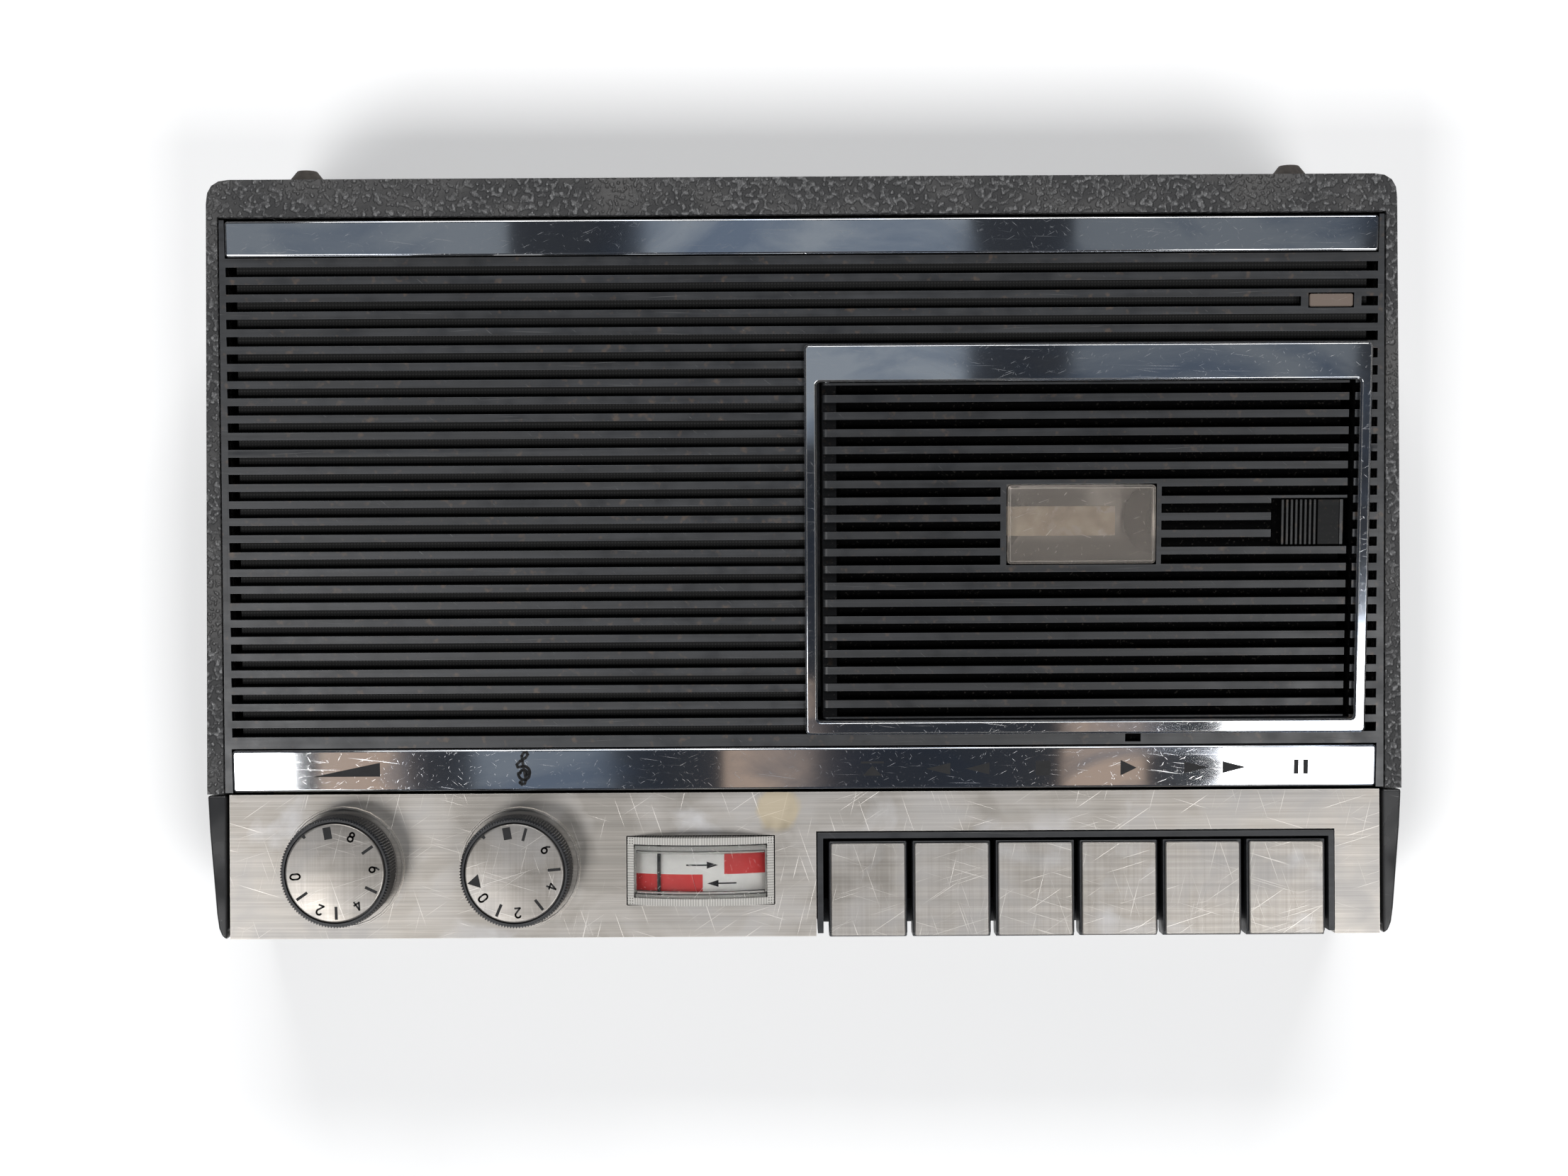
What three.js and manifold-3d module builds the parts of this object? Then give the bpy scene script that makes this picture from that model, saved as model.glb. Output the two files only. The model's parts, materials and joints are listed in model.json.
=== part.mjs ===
import * as THREE from 'three';
import { mergeVertices } from 'three/addons/utils/BufferGeometryUtils.js';
import Module from 'manifold-3d';

const wasm = await Module();
wasm.setup();

// ---------------------------------------------------------------- driving dimensions (mm)
// World axes while building: +X right, +Y rear, +Z up, z = 0 at the soles of the feet.
const GAP = 0.3;

// Sloped deck: its own axes are u (right), v (up the slope), w (out of the deck face).
const DECK_TILT = THREE.MathUtils.degToRad(6.5);
const DECK_Y = -57;
const DECK_Z = 50.6;

// Case
const FLOOR_Z = 3.0;
const COVER_TOP = 5.5;
const SHELL_BOTTOM = 5.8;
const SHELL_FRONT_HALF = 144.95;
const SHELL_REAR_HALF = 140.6;
const SHELL_REAR_Y = 89.3;
const SHELL_CORNER = 5.5;
const SHELL_RIM_W = 0.6;
const VOID_FRONT_HALF = 140.97;
const VOID_REAR_HALF = 138.1;
const VOID_REAR_V = 138.5;
const REAR_WALL_Y = 86.3;
const FRONT_Y = -92.4;
const CHEEK_INNER = 140.4;
const CHEEK_TOP = 51.0;

// Flat control panel
const PANEL_Z = 50;
const PANEL_T = 1.5;
const PANEL_REAR_Y = -57.3;
const PANEL_HALF = 139.8;
const FRONT_WALL_Y = -90.5;

// Keys
const KEY_COUNT = 6;
const KEY_FIRST_X = 15.35;
const KEY_PITCH = 20.3;
const KEY_W = 19.0;
const KEY_REAR_Y = -69.3;
const KEY_FRONT_Y = -92.7;
const KEY_TOP = 50.4;
const KEY_BOTTOM = 42.6;
const KEY_PIVOT_Y = -63.2;
const KEY_PIVOT_Z = 44.5;
const NOTCH_X0 = 2.8;
const NOTCH_X1 = 128.9;
const NOTCH_Y = -66.9;

// Knobs
const VOLUME_AT = [-112.1, -75.0];
const TONE_AT = [-69.3, -75.3];
const KNOB_R = 13.3;
const KNOB_BASE = 50.5;
const KNOB_TOP = 62;

// Meter
const METER_AT = [-25.3, -76.2];
const METER_W = 35.6;
const METER_D = 16.4;
const METER_PIVOT_Z = 16.8;
const METER_ARC_R = 34;
const NEEDLE_REST = THREE.MathUtils.degToRad(-16.7);

// Grille and lid, in deck axes
const PLATE_T = 2.4;
const SLOT_PITCH = 4.097;
const SLOT_H = 2.3;
const SLOT_ROWS = 28;
const FIELD_TOP_V = 126.84;
const FULL_ROWS = 5;
const WELL = { u0: 3.3, u1: 131.9, v0: 17.3, v1: 99.0 };
const WELL_WALL = 1.5;
const WELL_FLOOR_W = -19.9;
const FRAME = { u0: 0.4, u1: 135.5, v0: 14.0, v1: 107.9 };
const FRAME_HOLE = { u0: 3.3, u1: 132.7, v0: 17.3, v1: 99.0 };
const REAR_BAR = { half: 136.4, v0: 129.2, v1: 137.6 };
const FRONT_BAR = { half: 138.5, v0: 0.6, v1: 10.8 };
const LENS = { u0: 120.5, u1: 130.8, v0: 116.2, v1: 119.2 };
const LID = { u0: 4.0, u1: 130.5, v0: 17.6, v1: 98.7, top: -0.4, floor: -3.0, under: -4.4 };
const HINGE_U = 5.9;
const HINGE_W = -2.2;
const WINDOW = { u0: 49.1, u1: 84.6, v0: 55.1, v1: 74.0 };
const LATCH = { u0: 114.8, u1: 129.6, v0: 59.4, v1: 70.25 };

// Tape mechanism, in deck axes
const HUB_U = 66.8;
const HUB_V = 64.55;
const HUB_SPACING = 42.5;
const CHASSIS_TOP = -20.2;
const CAPSTAN = [96.8, 34.2];
const ROLLER = [96.8, 24.0];
const MOTOR = [118, 82];
const FLYWHEEL_R = 22;
const PULLEY_R = 3.5;

// Battery bay for six C cells
const BAY = { x0: -118.5, x1: -17.5, y0: 0, y1: 79.5, top: 33 };

// ---------------------------------------------------------------- finishes
function finish(color, roughness, metalness, extra = {}) {
  return new THREE.MeshStandardMaterial({ color, roughness, metalness, ...extra });
}
const GRAINED = finish(0x4a4a4a, 0.75, 0);
const BLACK = finish(0x232426, 0.4, 0);
const GLOSS_BLACK = finish(0x141416, 0.2, 0);
const DARK_INNER = finish(0x1b1b1c, 0.85, 0);
const CHROME = finish(0xb9bcc2, 0.15, 1);
const SATIN = finish(0xc8c0b6, 0.38, 1);
const STEEL = finish(0x8f9296, 0.4, 1);
const RUBBER = finish(0x3b342e, 0.9, 0);
const CLEAR = finish(0x6d665e, 0.08, 0, { transparent: true, opacity: 0.45 });
const AMBER = finish(0x6e5f55, 0.15, 0, { transparent: true, opacity: 0.8 });
const WHITE = finish(0xe8e4da, 0.6, 0);
const SPRING_METAL = finish(0xb7a68f, 0.35, 1);
const BOARD = finish(0x8a6a35, 0.6, 0);

// ---------------------------------------------------------------- solids
function toSolid(geometry) {
  const bare = geometry.index ? geometry.toNonIndexed() : geometry.clone();
  bare.deleteAttribute('normal');
  bare.deleteAttribute('uv');
  const welded = mergeVertices(bare, 1e-4);
  return new wasm.Manifold(new wasm.Mesh({
    numProp: 3,
    vertProperties: new Float32Array(welded.attributes.position.array),
    triVerts: new Uint32Array(welded.index.array),
  }));
}

function toGeometry(solid) {
  const mesh = solid.getMesh();
  const geometry = new THREE.BufferGeometry();
  geometry.setAttribute('position', new THREE.BufferAttribute(new Float32Array(mesh.vertProperties), 3));
  geometry.setIndex(new THREE.BufferAttribute(new Uint32Array(mesh.triVerts), 1));
  const flat = geometry.toNonIndexed();
  flat.computeVertexNormals();
  return flat;
}

function join(first, ...rest) {
  return rest.reduce((sum, solid) => sum.add(solid), first);
}

function cut(base, ...tools) {
  return tools.reduce((left, solid) => left.subtract(solid), base);
}

function box(x0, x1, y0, y1, z0, z1) {
  const geometry = new THREE.BoxGeometry(x1 - x0, y1 - y0, z1 - z0);
  geometry.translate((x0 + x1) / 2, (y0 + y1) / 2, (z0 + z1) / 2);
  return toSolid(geometry);
}

function polygon(points) {
  return new THREE.Shape(points.map(([x, y]) => new THREE.Vector2(x, y)));
}

function roundedRect(x0, x1, y0, y1, r) {
  const shape = new THREE.Shape();
  shape.moveTo(x0 + r, y0);
  shape.lineTo(x1 - r, y0);
  shape.absarc(x1 - r, y0 + r, r, -Math.PI / 2, 0, false);
  shape.lineTo(x1, y1 - r);
  shape.absarc(x1 - r, y1 - r, r, 0, Math.PI / 2, false);
  shape.lineTo(x0 + r, y1);
  shape.absarc(x0 + r, y1 - r, r, Math.PI / 2, Math.PI, false);
  shape.lineTo(x0, y0 + r);
  shape.absarc(x0 + r, y0 + r, r, Math.PI, Math.PI * 1.5, false);
  return shape;
}

// Extrudes a plan shape from z0 to z1, with an optional chamfer that keeps the outline.
function prism(shape, z0, z1, chamfer = 0, curveSegments = 4) {
  const geometry = new THREE.ExtrudeGeometry(shape, {
    depth: z1 - z0 - 2 * chamfer,
    bevelEnabled: chamfer > 0,
    bevelSize: chamfer,
    bevelThickness: chamfer,
    bevelOffset: -chamfer,
    bevelSegments: 1,
    curveSegments,
  });
  geometry.translate(0, 0, z0 + chamfer);
  return toSolid(geometry);
}

// A shape drawn in (x, z) and extruded along +Y.
function prismAlongY(shape, y0, y1, curveSegments = 6) {
  const geometry = new THREE.ExtrudeGeometry(shape, { depth: y1 - y0, bevelEnabled: false, curveSegments });
  geometry.rotateX(Math.PI / 2);
  geometry.translate(0, y1, 0);
  return toSolid(geometry);
}

// A profile of [radius, height] pairs turned about a vertical axis at (x, y).
function turned(profile, x, y, segments = 32) {
  const points = profile.map(([r, z]) => new THREE.Vector2(r, z));
  const geometry = new THREE.LatheGeometry(points, segments);
  geometry.rotateX(Math.PI / 2);
  geometry.translate(x, y, 0);
  return toSolid(geometry);
}

function post(r, z0, z1, x, y, segments = 24) {
  return turned([[0, z0], [r, z0], [r, z1], [0, z1]], x, y, segments);
}

function rodAlongY(r, y0, y1, x, z, segments = 16) {
  const geometry = new THREE.CylinderGeometry(r, r, y1 - y0, segments);
  geometry.translate(x, (y0 + y1) / 2, z);
  return toSolid(geometry);
}

function rodAlongX(r, x0, x1, y, z, segments = 16) {
  const geometry = new THREE.CylinderGeometry(r, r, x1 - x0, segments);
  geometry.rotateZ(Math.PI / 2);
  geometry.translate((x0 + x1) / 2, y, z);
  return toSolid(geometry);
}

// ---------------------------------------------------------------- placement
const deckMatrix = new THREE.Matrix4()
  .makeTranslation(0, DECK_Y, DECK_Z)
  .multiply(new THREE.Matrix4().makeRotationX(DECK_TILT));

function onDeck(solid) {
  return solid.transform(deckMatrix.toArray());
}

function deckToWorldY(v) {
  return DECK_Y + v * Math.cos(DECK_TILT);
}

function lerp(a, b, t) {
  return a + (b - a) * t;
}

const root = new THREE.Group();
root.name = 'cassette_deck';

function addPart(name, solid, material) {
  const mesh = new THREE.Mesh(toGeometry(solid), material);
  mesh.name = name;
  root.add(mesh);
}

// ---------------------------------------------------------------- case
function shellOutline(inset, rearY) {
  const run = SHELL_REAR_Y - DECK_Y;
  const rearHalf = lerp(SHELL_FRONT_HALF, SHELL_REAR_HALF, (rearY - DECK_Y) / run) - inset;
  const frontHalf = SHELL_FRONT_HALF - inset;
  const r = SHELL_CORNER;
  const shape = new THREE.Shape();
  shape.moveTo(-frontHalf, DECK_Y);
  shape.lineTo(frontHalf, DECK_Y);
  shape.lineTo(rearHalf, rearY - r);
  shape.quadraticCurveTo(rearHalf, rearY, rearHalf - r, rearY);
  shape.lineTo(-rearHalf + r, rearY);
  shape.quadraticCurveTo(-rearHalf, rearY, -rearHalf, rearY - r);
  return shape;
}

function voidOutline(rearY) {
  return polygon([
    [-VOID_FRONT_HALF, DECK_Y - 1],
    [VOID_FRONT_HALF, DECK_Y - 1],
    [VOID_REAR_HALF, rearY],
    [-VOID_REAR_HALF, rearY],
  ]);
}

function buildShell() {
  const above = onDeck(box(-200, 200, -60, 220, SHELL_RIM_W, 60));
  const flangeAndAbove = onDeck(box(-200, 200, -60, 220, -PLATE_T, 60));
  const deckVoid = prism(voidOutline(deckToWorldY(VOID_REAR_V)), 0, 100);
  const innerVoid = cut(prism(voidOutline(REAR_WALL_Y), 0, 100), flangeAndAbove);
  const block = prism(shellOutline(0, SHELL_REAR_Y), SHELL_BOTTOM, 90);
  return cut(block, above, deckVoid, innerVoid);
}

function cheekOutline(side) {
  return polygon([
    [side * CHEEK_INNER, DECK_Y - GAP],
    [side * SHELL_FRONT_HALF, DECK_Y - GAP],
    [side * 144.5, -66],
    [side * 143.5, -78],
    [side * 142.9, -86],
    [side * 142.4, -89.6],
    [side * 141.6, -91.6],
    [side * CHEEK_INNER, FRONT_Y],
  ]);
}

function buildFrontWall() {
  const wallHalf = PANEL_HALF + GAP;
  const underPanel = PANEL_Z - PANEL_T - GAP;
  const underRail = 33.7;
  const face = polygon([
    [-wallHalf, SHELL_BOTTOM],
    [wallHalf, SHELL_BOTTOM],
    [wallHalf, underPanel],
    [NOTCH_X1 + GAP, underPanel],
    [NOTCH_X1 + GAP, underRail],
    [NOTCH_X0 - GAP, underRail],
    [NOTCH_X0 - GAP, underPanel],
    [-wallHalf, underPanel],
  ]);
  return prismAlongY(face, FRONT_WALL_Y, FRONT_WALL_Y + 2.5);
}

const DOOR = { x0: BAY.x0 + 0.3, x1: BAY.x1 - 0.3, y0: BAY.y0 + 0.5, y1: BAY.y1 - 0.5 };
const DOOR_PIVOT_Y = DOOR.y1 - 1.25;
const DOOR_PIVOT_Z = FLOOR_Z + 1.25;

function buildBottomCover() {
  const outline = polygon([
    [-143.6, -56],
    [-141.3, -87],
    [-139, -90.2],
    [139, -90.2],
    [141.3, -87],
    [143.6, -56],
    [139.6, 82.5],
    [134.5, 88],
    [-134.5, 88],
    [-139.6, 82.5],
  ]);
  const opening = box(DOOR.x0 - GAP, DOOR.x1 + GAP, DOOR.y0 - GAP, DOOR.y1 + GAP, 0, 10);
  return cut(prism(outline, FLOOR_Z, COVER_TOP), opening);
}

function buildBatteryDoor() {
  const panel = box(DOOR.x0, DOOR.x1, DOOR.y0, DOOR_PIVOT_Y, FLOOR_Z, COVER_TOP);
  const knuckle = rodAlongX(1.25, DOOR.x0, DOOR.x1, DOOR_PIVOT_Y, DOOR_PIVOT_Z, 24);
  const fingerGrip = box(-78, -58, DOOR.y0 + 2, DOOR.y0 + 8, FLOOR_Z - 1, FLOOR_Z + 1);
  return cut(join(panel, knuckle), fingerGrip);
}

function buildBatteryTray() {
  const wall = 1.5;
  const outer = box(BAY.x0 - wall, BAY.x1 + wall, BAY.y0 - wall, BAY.y1 + wall, SHELL_BOTTOM, BAY.top + wall);
  return cut(outer, box(BAY.x0, BAY.x1, BAY.y0, BAY.y1, 0, BAY.top));
}

addPart('case_shell', buildShell(), GRAINED);
addPart('left_cheek', prism(cheekOutline(-1), SHELL_BOTTOM, CHEEK_TOP), GLOSS_BLACK);
addPart('right_cheek', prism(cheekOutline(1), SHELL_BOTTOM, CHEEK_TOP), GLOSS_BLACK);
addPart('front_wall', buildFrontWall(), BLACK);
addPart('bottom_cover', buildBottomCover(), BLACK);
addPart('battery_door', buildBatteryDoor(), BLACK);
addPart('battery_tray', buildBatteryTray(), DARK_INNER);

const FOOT_POSITIONS = {
  foot_front_left: [-125, -80],
  foot_front_right: [125, -80],
  foot_rear_left: [-129.5, 76],
  foot_rear_right: [129.5, 76],
};
for (const [name, [x, y]] of Object.entries(FOOT_POSITIONS)) {
  const top = FLOOR_Z - GAP;
  addPart(name, turned([[0, 0], [5.7, 0], [6.5, 0.8], [6.5, top], [0, top]], x, y, 16), RUBBER);
}

function buildRearFoot(x) {
  const start = SHELL_REAR_Y + GAP;
  const profile = [[0, 0], [4.5, 0], [3.9, 1.6], [2.4, 3.5], [0, 3.5]].map(([r, h]) => new THREE.Vector2(r, h));
  const geometry = new THREE.LatheGeometry(profile, 16);
  geometry.translate(x, start, 56);
  return toSolid(geometry);
}
addPart('rear_foot_left', buildRearFoot(-118.8), RUBBER);
addPart('rear_foot_right', buildRearFoot(117.4), RUBBER);

// ---------------------------------------------------------------- sloped grille panel
function slotEnd(v) {
  return 136.6 + (125.6 - v) * 0.0175;
}

function panelHalf(v) {
  return lerp(VOID_FRONT_HALF, VOID_REAR_HALF, v / VOID_REAR_V) - GAP;
}

function slotRow(k) {
  const top = FIELD_TOP_V - k * SLOT_PITCH;
  return [top - SLOT_H, top];
}

function slotBox(u0, u1, k, w0 = -PLATE_T - 0.1) {
  const [v0, v1] = slotRow(k);
  return box(u0, u1, v0, v1, w0, 2);
}

function buildGrille() {
  const plate = prism(polygon([
    [-panelHalf(0.3), 0.3],
    [panelHalf(0.3), 0.3],
    [panelHalf(137.9), 137.9],
    [-panelHalf(137.9), 137.9],
  ]), -PLATE_T, 0);
  const wellOuter = box(WELL.u0 - WELL_WALL, WELL.u1 + WELL_WALL, WELL.v0 - WELL_WALL, WELL.v1 + WELL_WALL,
    WELL_FLOOR_W, -PLATE_T / 2);
  const wellInner = box(WELL.u0, WELL.u1, WELL.v0, WELL.v1, WELL_FLOOR_W - 1, 2);
  const tools = [wellInner];
  for (let k = 0; k < SLOT_ROWS; k += 1) {
    const end = slotEnd(slotRow(k)[0]);
    if (k < FULL_ROWS) {
      if (k === 2) {
        tools.push(slotBox(-end, LENS.u0 - 2, k), slotBox(LENS.u1 + 2, end, k));
      } else {
        tools.push(slotBox(-end, end, k));
      }
      continue;
    }
    const [v0, v1] = slotRow(k);
    const besideWell = v0 > WELL.v0 && v1 < WELL.v1;
    tools.push(slotBox(-end, 1.2, k), slotBox(besideWell ? WELL.u1 - 1 : 134, end, k));
  }
  tools.push(box(LENS.u0 - GAP, LENS.u1 + GAP, LENS.v0 - GAP, LENS.v1 + GAP, -5, 2));
  tools.push(box(-REAR_BAR.half - GAP, REAR_BAR.half + GAP, REAR_BAR.v0 - GAP, 140, -1, 2));
  tools.push(box(-FRONT_BAR.half - GAP, FRONT_BAR.half + GAP, -1, FRONT_BAR.v1 + GAP, -1, 2));
  tools.push(box(77.8, 81.6, 11.7, 13.7, -1.6, 2));
  tools.push(rodAlongY(1.1, WELL.v0 - WELL_WALL - 0.5, WELL.v0 + 0.5, HINGE_U, HINGE_W));
  tools.push(rodAlongY(1.1, WELL.v1 - 0.5, WELL.v1 + WELL_WALL + 0.5, HINGE_U, HINGE_W));
  return cut(join(plate, wellOuter), ...tools);
}

function barShape({ half, v0, v1 }) {
  return roundedRect(-half, half, v0, v1, 0.8);
}

function buildFrame() {
  const shape = roundedRect(FRAME.u0, FRAME.u1, FRAME.v0, FRAME.v1, 1.2);
  shape.holes.push(roundedRect(FRAME_HOLE.u0, FRAME_HOLE.u1, FRAME_HOLE.v0, FRAME_HOLE.v1, 0.8));
  return prism(shape, GAP, 1.9, 0.45, 3);
}

function buildCloth() {
  const inset = 2.1;
  const right = WELL.u0 - WELL_WALL - 0.5;
  const rear = FIELD_TOP_V + 1;
  const nearWell = WELL.v1 + WELL_WALL + 0.5;
  return prism(polygon([
    [-slotEnd(14) + inset, 13],
    [right, 13],
    [right, nearWell],
    [slotEnd(104) - inset, nearWell],
    [slotEnd(126) - inset, rear],
    [-slotEnd(126) + inset, rear],
  ]), -3.5, -2.7);
}

addPart('grille_panel', onDeck(buildGrille()), BLACK);
addPart('rear_trim_bar', onDeck(prism(barShape(REAR_BAR), -0.7, 1.0, 0.35, 2)), CHROME);
addPart('front_trim_bar', onDeck(prism(barShape(FRONT_BAR), -0.7, 0.9, 0.35, 2)), CHROME);
addPart('lid_surround', onDeck(buildFrame()), CHROME);
addPart('speaker_cloth', onDeck(buildCloth()), DARK_INNER);
addPart('indicator_lens', onDeck(prism(roundedRect(LENS.u0, LENS.u1, LENS.v0, LENS.v1, 0.4), -2.0, 0.2, 0.2, 1)), AMBER);

// ---------------------------------------------------------------- lid
const LATCH_POCKET = { u0: 112.3, v0: 58.95, v1: 70.65 };

function buildLid() {
  const slabShape = new THREE.Shape();
  slabShape.moveTo(HINGE_U, LID.under);
  slabShape.lineTo(129.1, LID.under);
  slabShape.lineTo(129.1, LID.floor);
  slabShape.lineTo(LID.u1, LID.floor);
  slabShape.lineTo(LID.u1, LID.top);
  slabShape.lineTo(HINGE_U, LID.top);
  slabShape.absarc(HINGE_U, HINGE_W, LID.top - HINGE_W, Math.PI / 2, Math.PI * 1.5, false);
  const slab = prismAlongY(slabShape, LID.v0, LID.v1);
  const tools = [];
  for (let k = 7; k < 27; k += 1) {
    const throughWindow = k >= 13 && k <= 17;
    const throughLatch = k >= 14 && k <= 16;
    tools.push(slotBox(LID.u0 - 1, 8.1, k, LID.top - 0.5));
    if (!throughWindow) {
      tools.push(slotBox(8, LID.u1 + 1, k, LID.floor));
      continue;
    }
    tools.push(slotBox(8, WINDOW.u0 - 1.7, k, LID.floor));
    tools.push(slotBox(WINDOW.u1 + 1.4, throughLatch ? LATCH_POCKET.u0 : LID.u1 + 1, k,
      throughLatch ? LID.top - 0.8 : LID.floor));
  }
  tools.push(box(LATCH_POCKET.u0, LID.u1 + 1, LATCH_POCKET.v0, LATCH_POCKET.v1, LID.floor, 2));
  tools.push(box(WINDOW.u0 - GAP, WINDOW.u1 + GAP, WINDOW.v0 - GAP, WINDOW.v1 + GAP, -6, 2));
  tools.push(rodAlongY(1.1, LID.v0 - 1, LID.v1 + 1, HINGE_U, HINGE_W));
  return cut(slab, ...tools);
}

function buildLatch() {
  const inset = GAP;
  const v0 = LATCH.v0;
  const v1 = LATCH.v1;
  const base = box(LATCH.u0, LATCH.u1, v0, v1, LID.floor + inset, -1.3);
  const flat = box(123.6, 128.7, v0, v1, -2, -0.7);
  const lip = box(128.7, LATCH.u1, v0, v1, -2, -0.3);
  const ridges = [];
  for (let i = 0; i < 8; i += 1) {
    const u = LATCH.u0 + i * 1.1;
    ridges.push(box(u, u + 0.65, v0, v1, -2, -0.45));
  }
  return join(base, flat, lip, ...ridges);
}

const windowShape = roundedRect(WINDOW.u0, WINDOW.u1, WINDOW.v0, WINDOW.v1, 0.9);
addPart('cassette_lid', onDeck(buildLid()), BLACK);
addPart('lid_window', onDeck(prism(windowShape, -3.8, 0.4, 0.6, 2)), CLEAR);
addPart('lid_spring', onDeck(box(WINDOW.u0 - 8, 75.3, 61.6, 68.7, -5.3, -4.7)), SPRING_METAL);
addPart('lid_latch', onDeck(buildLatch()), BLACK);
addPart('lid_hinge_pin', onDeck(rodAlongY(0.8, WELL.v0 - 1.2, WELL.v1 + 1.2, HINGE_U, HINGE_W, 10)), STEEL);

// ---------------------------------------------------------------- control panel
function buildControlPanel() {
  const plate = box(-PANEL_HALF, PANEL_HALF, FRONT_Y, PANEL_REAR_Y, PANEL_Z - PANEL_T, PANEL_Z);
  const lip = box(-PANEL_HALF, PANEL_HALF, FRONT_Y, FRONT_Y + 1.2, 42, PANEL_Z - 0.5);
  const rings = [VOLUME_AT, TONE_AT].map(([x, y]) => {
    const low = PANEL_Z - 0.5;
    const high = PANEL_Z + 0.4;
    return turned([[14.0, low], [15.0, low], [14.7, high], [14.3, high], [14.0, low]], x, y, 28);
  });
  const notch = box(NOTCH_X0, NOTCH_X1, FRONT_Y - 1, NOTCH_Y, 30, 60);
  const shaftHoles = [VOLUME_AT, TONE_AT].map(([x, y]) => post(4.4, 40, 60, x, y));
  const [mx, my] = METER_AT;
  const window = prism(roundedRect(mx - METER_W / 2 - GAP, mx + METER_W / 2 + GAP,
    my - METER_D / 2 - GAP, my + METER_D / 2 + GAP, 0.3), 40, 60);
  return cut(join(plate, lip, ...rings), notch, window, ...shaftHoles);
}

function buildKnob([x, y], teeth) {
  const outline = [];
  for (let i = 0; i < teeth * 2; i += 1) {
    const angle = (i / (teeth * 2)) * Math.PI * 2;
    const r = i % 2 === 0 ? KNOB_R : KNOB_R - 0.45;
    outline.push([x + r * Math.cos(angle), y + r * Math.sin(angle)]);
  }
  const grip = prism(polygon(outline), 52.4, 61.7);
  const collar = post(KNOB_R - 0.2, KNOB_BASE, 52.5, x, y, 32);
  const discSeat = post(12.1, 60.6, 70, x, y, 32);
  const bore = post(3.3, 40, 57.6, x, y);
  return cut(join(grip, collar), discSeat, bore);
}

function buildKnobDisc([x, y]) {
  const top = KNOB_TOP;
  return turned([[0, 60.9], [11.8, 60.9], [11.8, top - 0.3], [11.5, top], [0, top]], x, y, 32);
}

function buildPot([x, y]) {
  const profile = [[0, 31], [8, 31], [8, 44], [4.1, 44], [4.1, 49.7], [3, 49.7], [3, 57.2], [0, 57.2]];
  return turned(profile, x, y, 16);
}

addPart('control_panel', buildControlPanel(), SATIN);
addPart('volume_knob', buildKnob(VOLUME_AT, 40), BLACK);
addPart('volume_disc', buildKnobDisc(VOLUME_AT), SATIN);
addPart('tone_knob', buildKnob(TONE_AT, 40), BLACK);
addPart('tone_disc', buildKnobDisc(TONE_AT), SATIN);
addPart('volume_pot', buildPot(VOLUME_AT), STEEL);
addPart('tone_pot', buildPot(TONE_AT), STEEL);

// ---------------------------------------------------------------- meter
function arcShape(centreX, centreZ, radius, halfWidth, baseZ) {
  const angle = Math.asin(halfWidth / radius);
  const shape = new THREE.Shape();
  shape.moveTo(centreX - halfWidth, baseZ);
  shape.lineTo(centreX + halfWidth, baseZ);
  shape.absarc(centreX, centreZ, radius, Math.PI / 2 - angle, Math.PI / 2 + angle, false);
  return shape;
}

function arcStrip(centreX, centreZ, inner, outer, angle) {
  const shape = new THREE.Shape();
  shape.absarc(centreX, centreZ, outer, Math.PI / 2 - angle, Math.PI / 2 + angle, false);
  shape.absarc(centreX, centreZ, inner, Math.PI / 2 + angle, Math.PI / 2 - angle, true);
  return shape;
}

function buildMeterLens() {
  const [x, y] = METER_AT;
  const outerR = 41.6;
  const crown = 54.2;
  const outer = prismAlongY(arcShape(x, crown - outerR, outerR, METER_W / 2, 47), y - METER_D / 2, y + METER_D / 2, 20);
  const inner = prismAlongY(arcShape(x, crown - outerR, outerR - 1, METER_W / 2 - 1, 46),
    y - METER_D / 2 + 0.8, y + METER_D / 2 - 0.8, 20);
  return cut(outer, inner);
}

function buildMeterBody() {
  const [x, y] = METER_AT;
  const outer = box(x - 19.1, x + 19.1, y - 9.5, y + 9.5, 12, 48.2);
  const inner = box(x - 18.1, x + 18.1, y - 8.5, y + 8.5, 13.2, 50);
  const bearing = rodAlongY(1.2, y - 9, y + 5.0, x, METER_PIVOT_Z, 16);
  return join(cut(outer, inner), bearing);
}

function buildNeedle() {
  const [x, y] = METER_AT;
  const arm = box(-0.35, 0.35, 6.5, 7.1, -3, METER_ARC_R + 1.2);
  const hub = rodAlongY(2.4, 5.3, 7.1, 0, 0, 16);
  const pointer = box(-0.35, 0.35, -6.2, 7.1, METER_ARC_R + 0.6, METER_ARC_R + 1.2);
  const turn = new THREE.Matrix4()
    .makeTranslation(x, y, METER_PIVOT_Z)
    .multiply(new THREE.Matrix4().makeRotationY(NEEDLE_REST));
  return join(arm, hub, pointer).transform(turn.toArray());
}

const [meterX, meterY] = METER_AT;
const scaleAngle = Math.asin(17.2 / METER_ARC_R);
const scaleShape = arcStrip(meterX, METER_PIVOT_Z, METER_ARC_R - 0.8, METER_ARC_R, scaleAngle);
addPart('meter_body', buildMeterBody(), DARK_INNER);
addPart('meter_scale', prismAlongY(scaleShape, meterY - 6.6, meterY + 6.2, 16), WHITE);
addPart('meter_needle', buildNeedle(), GLOSS_BLACK);
addPart('meter_lens', buildMeterLens(), CLEAR);

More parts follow.
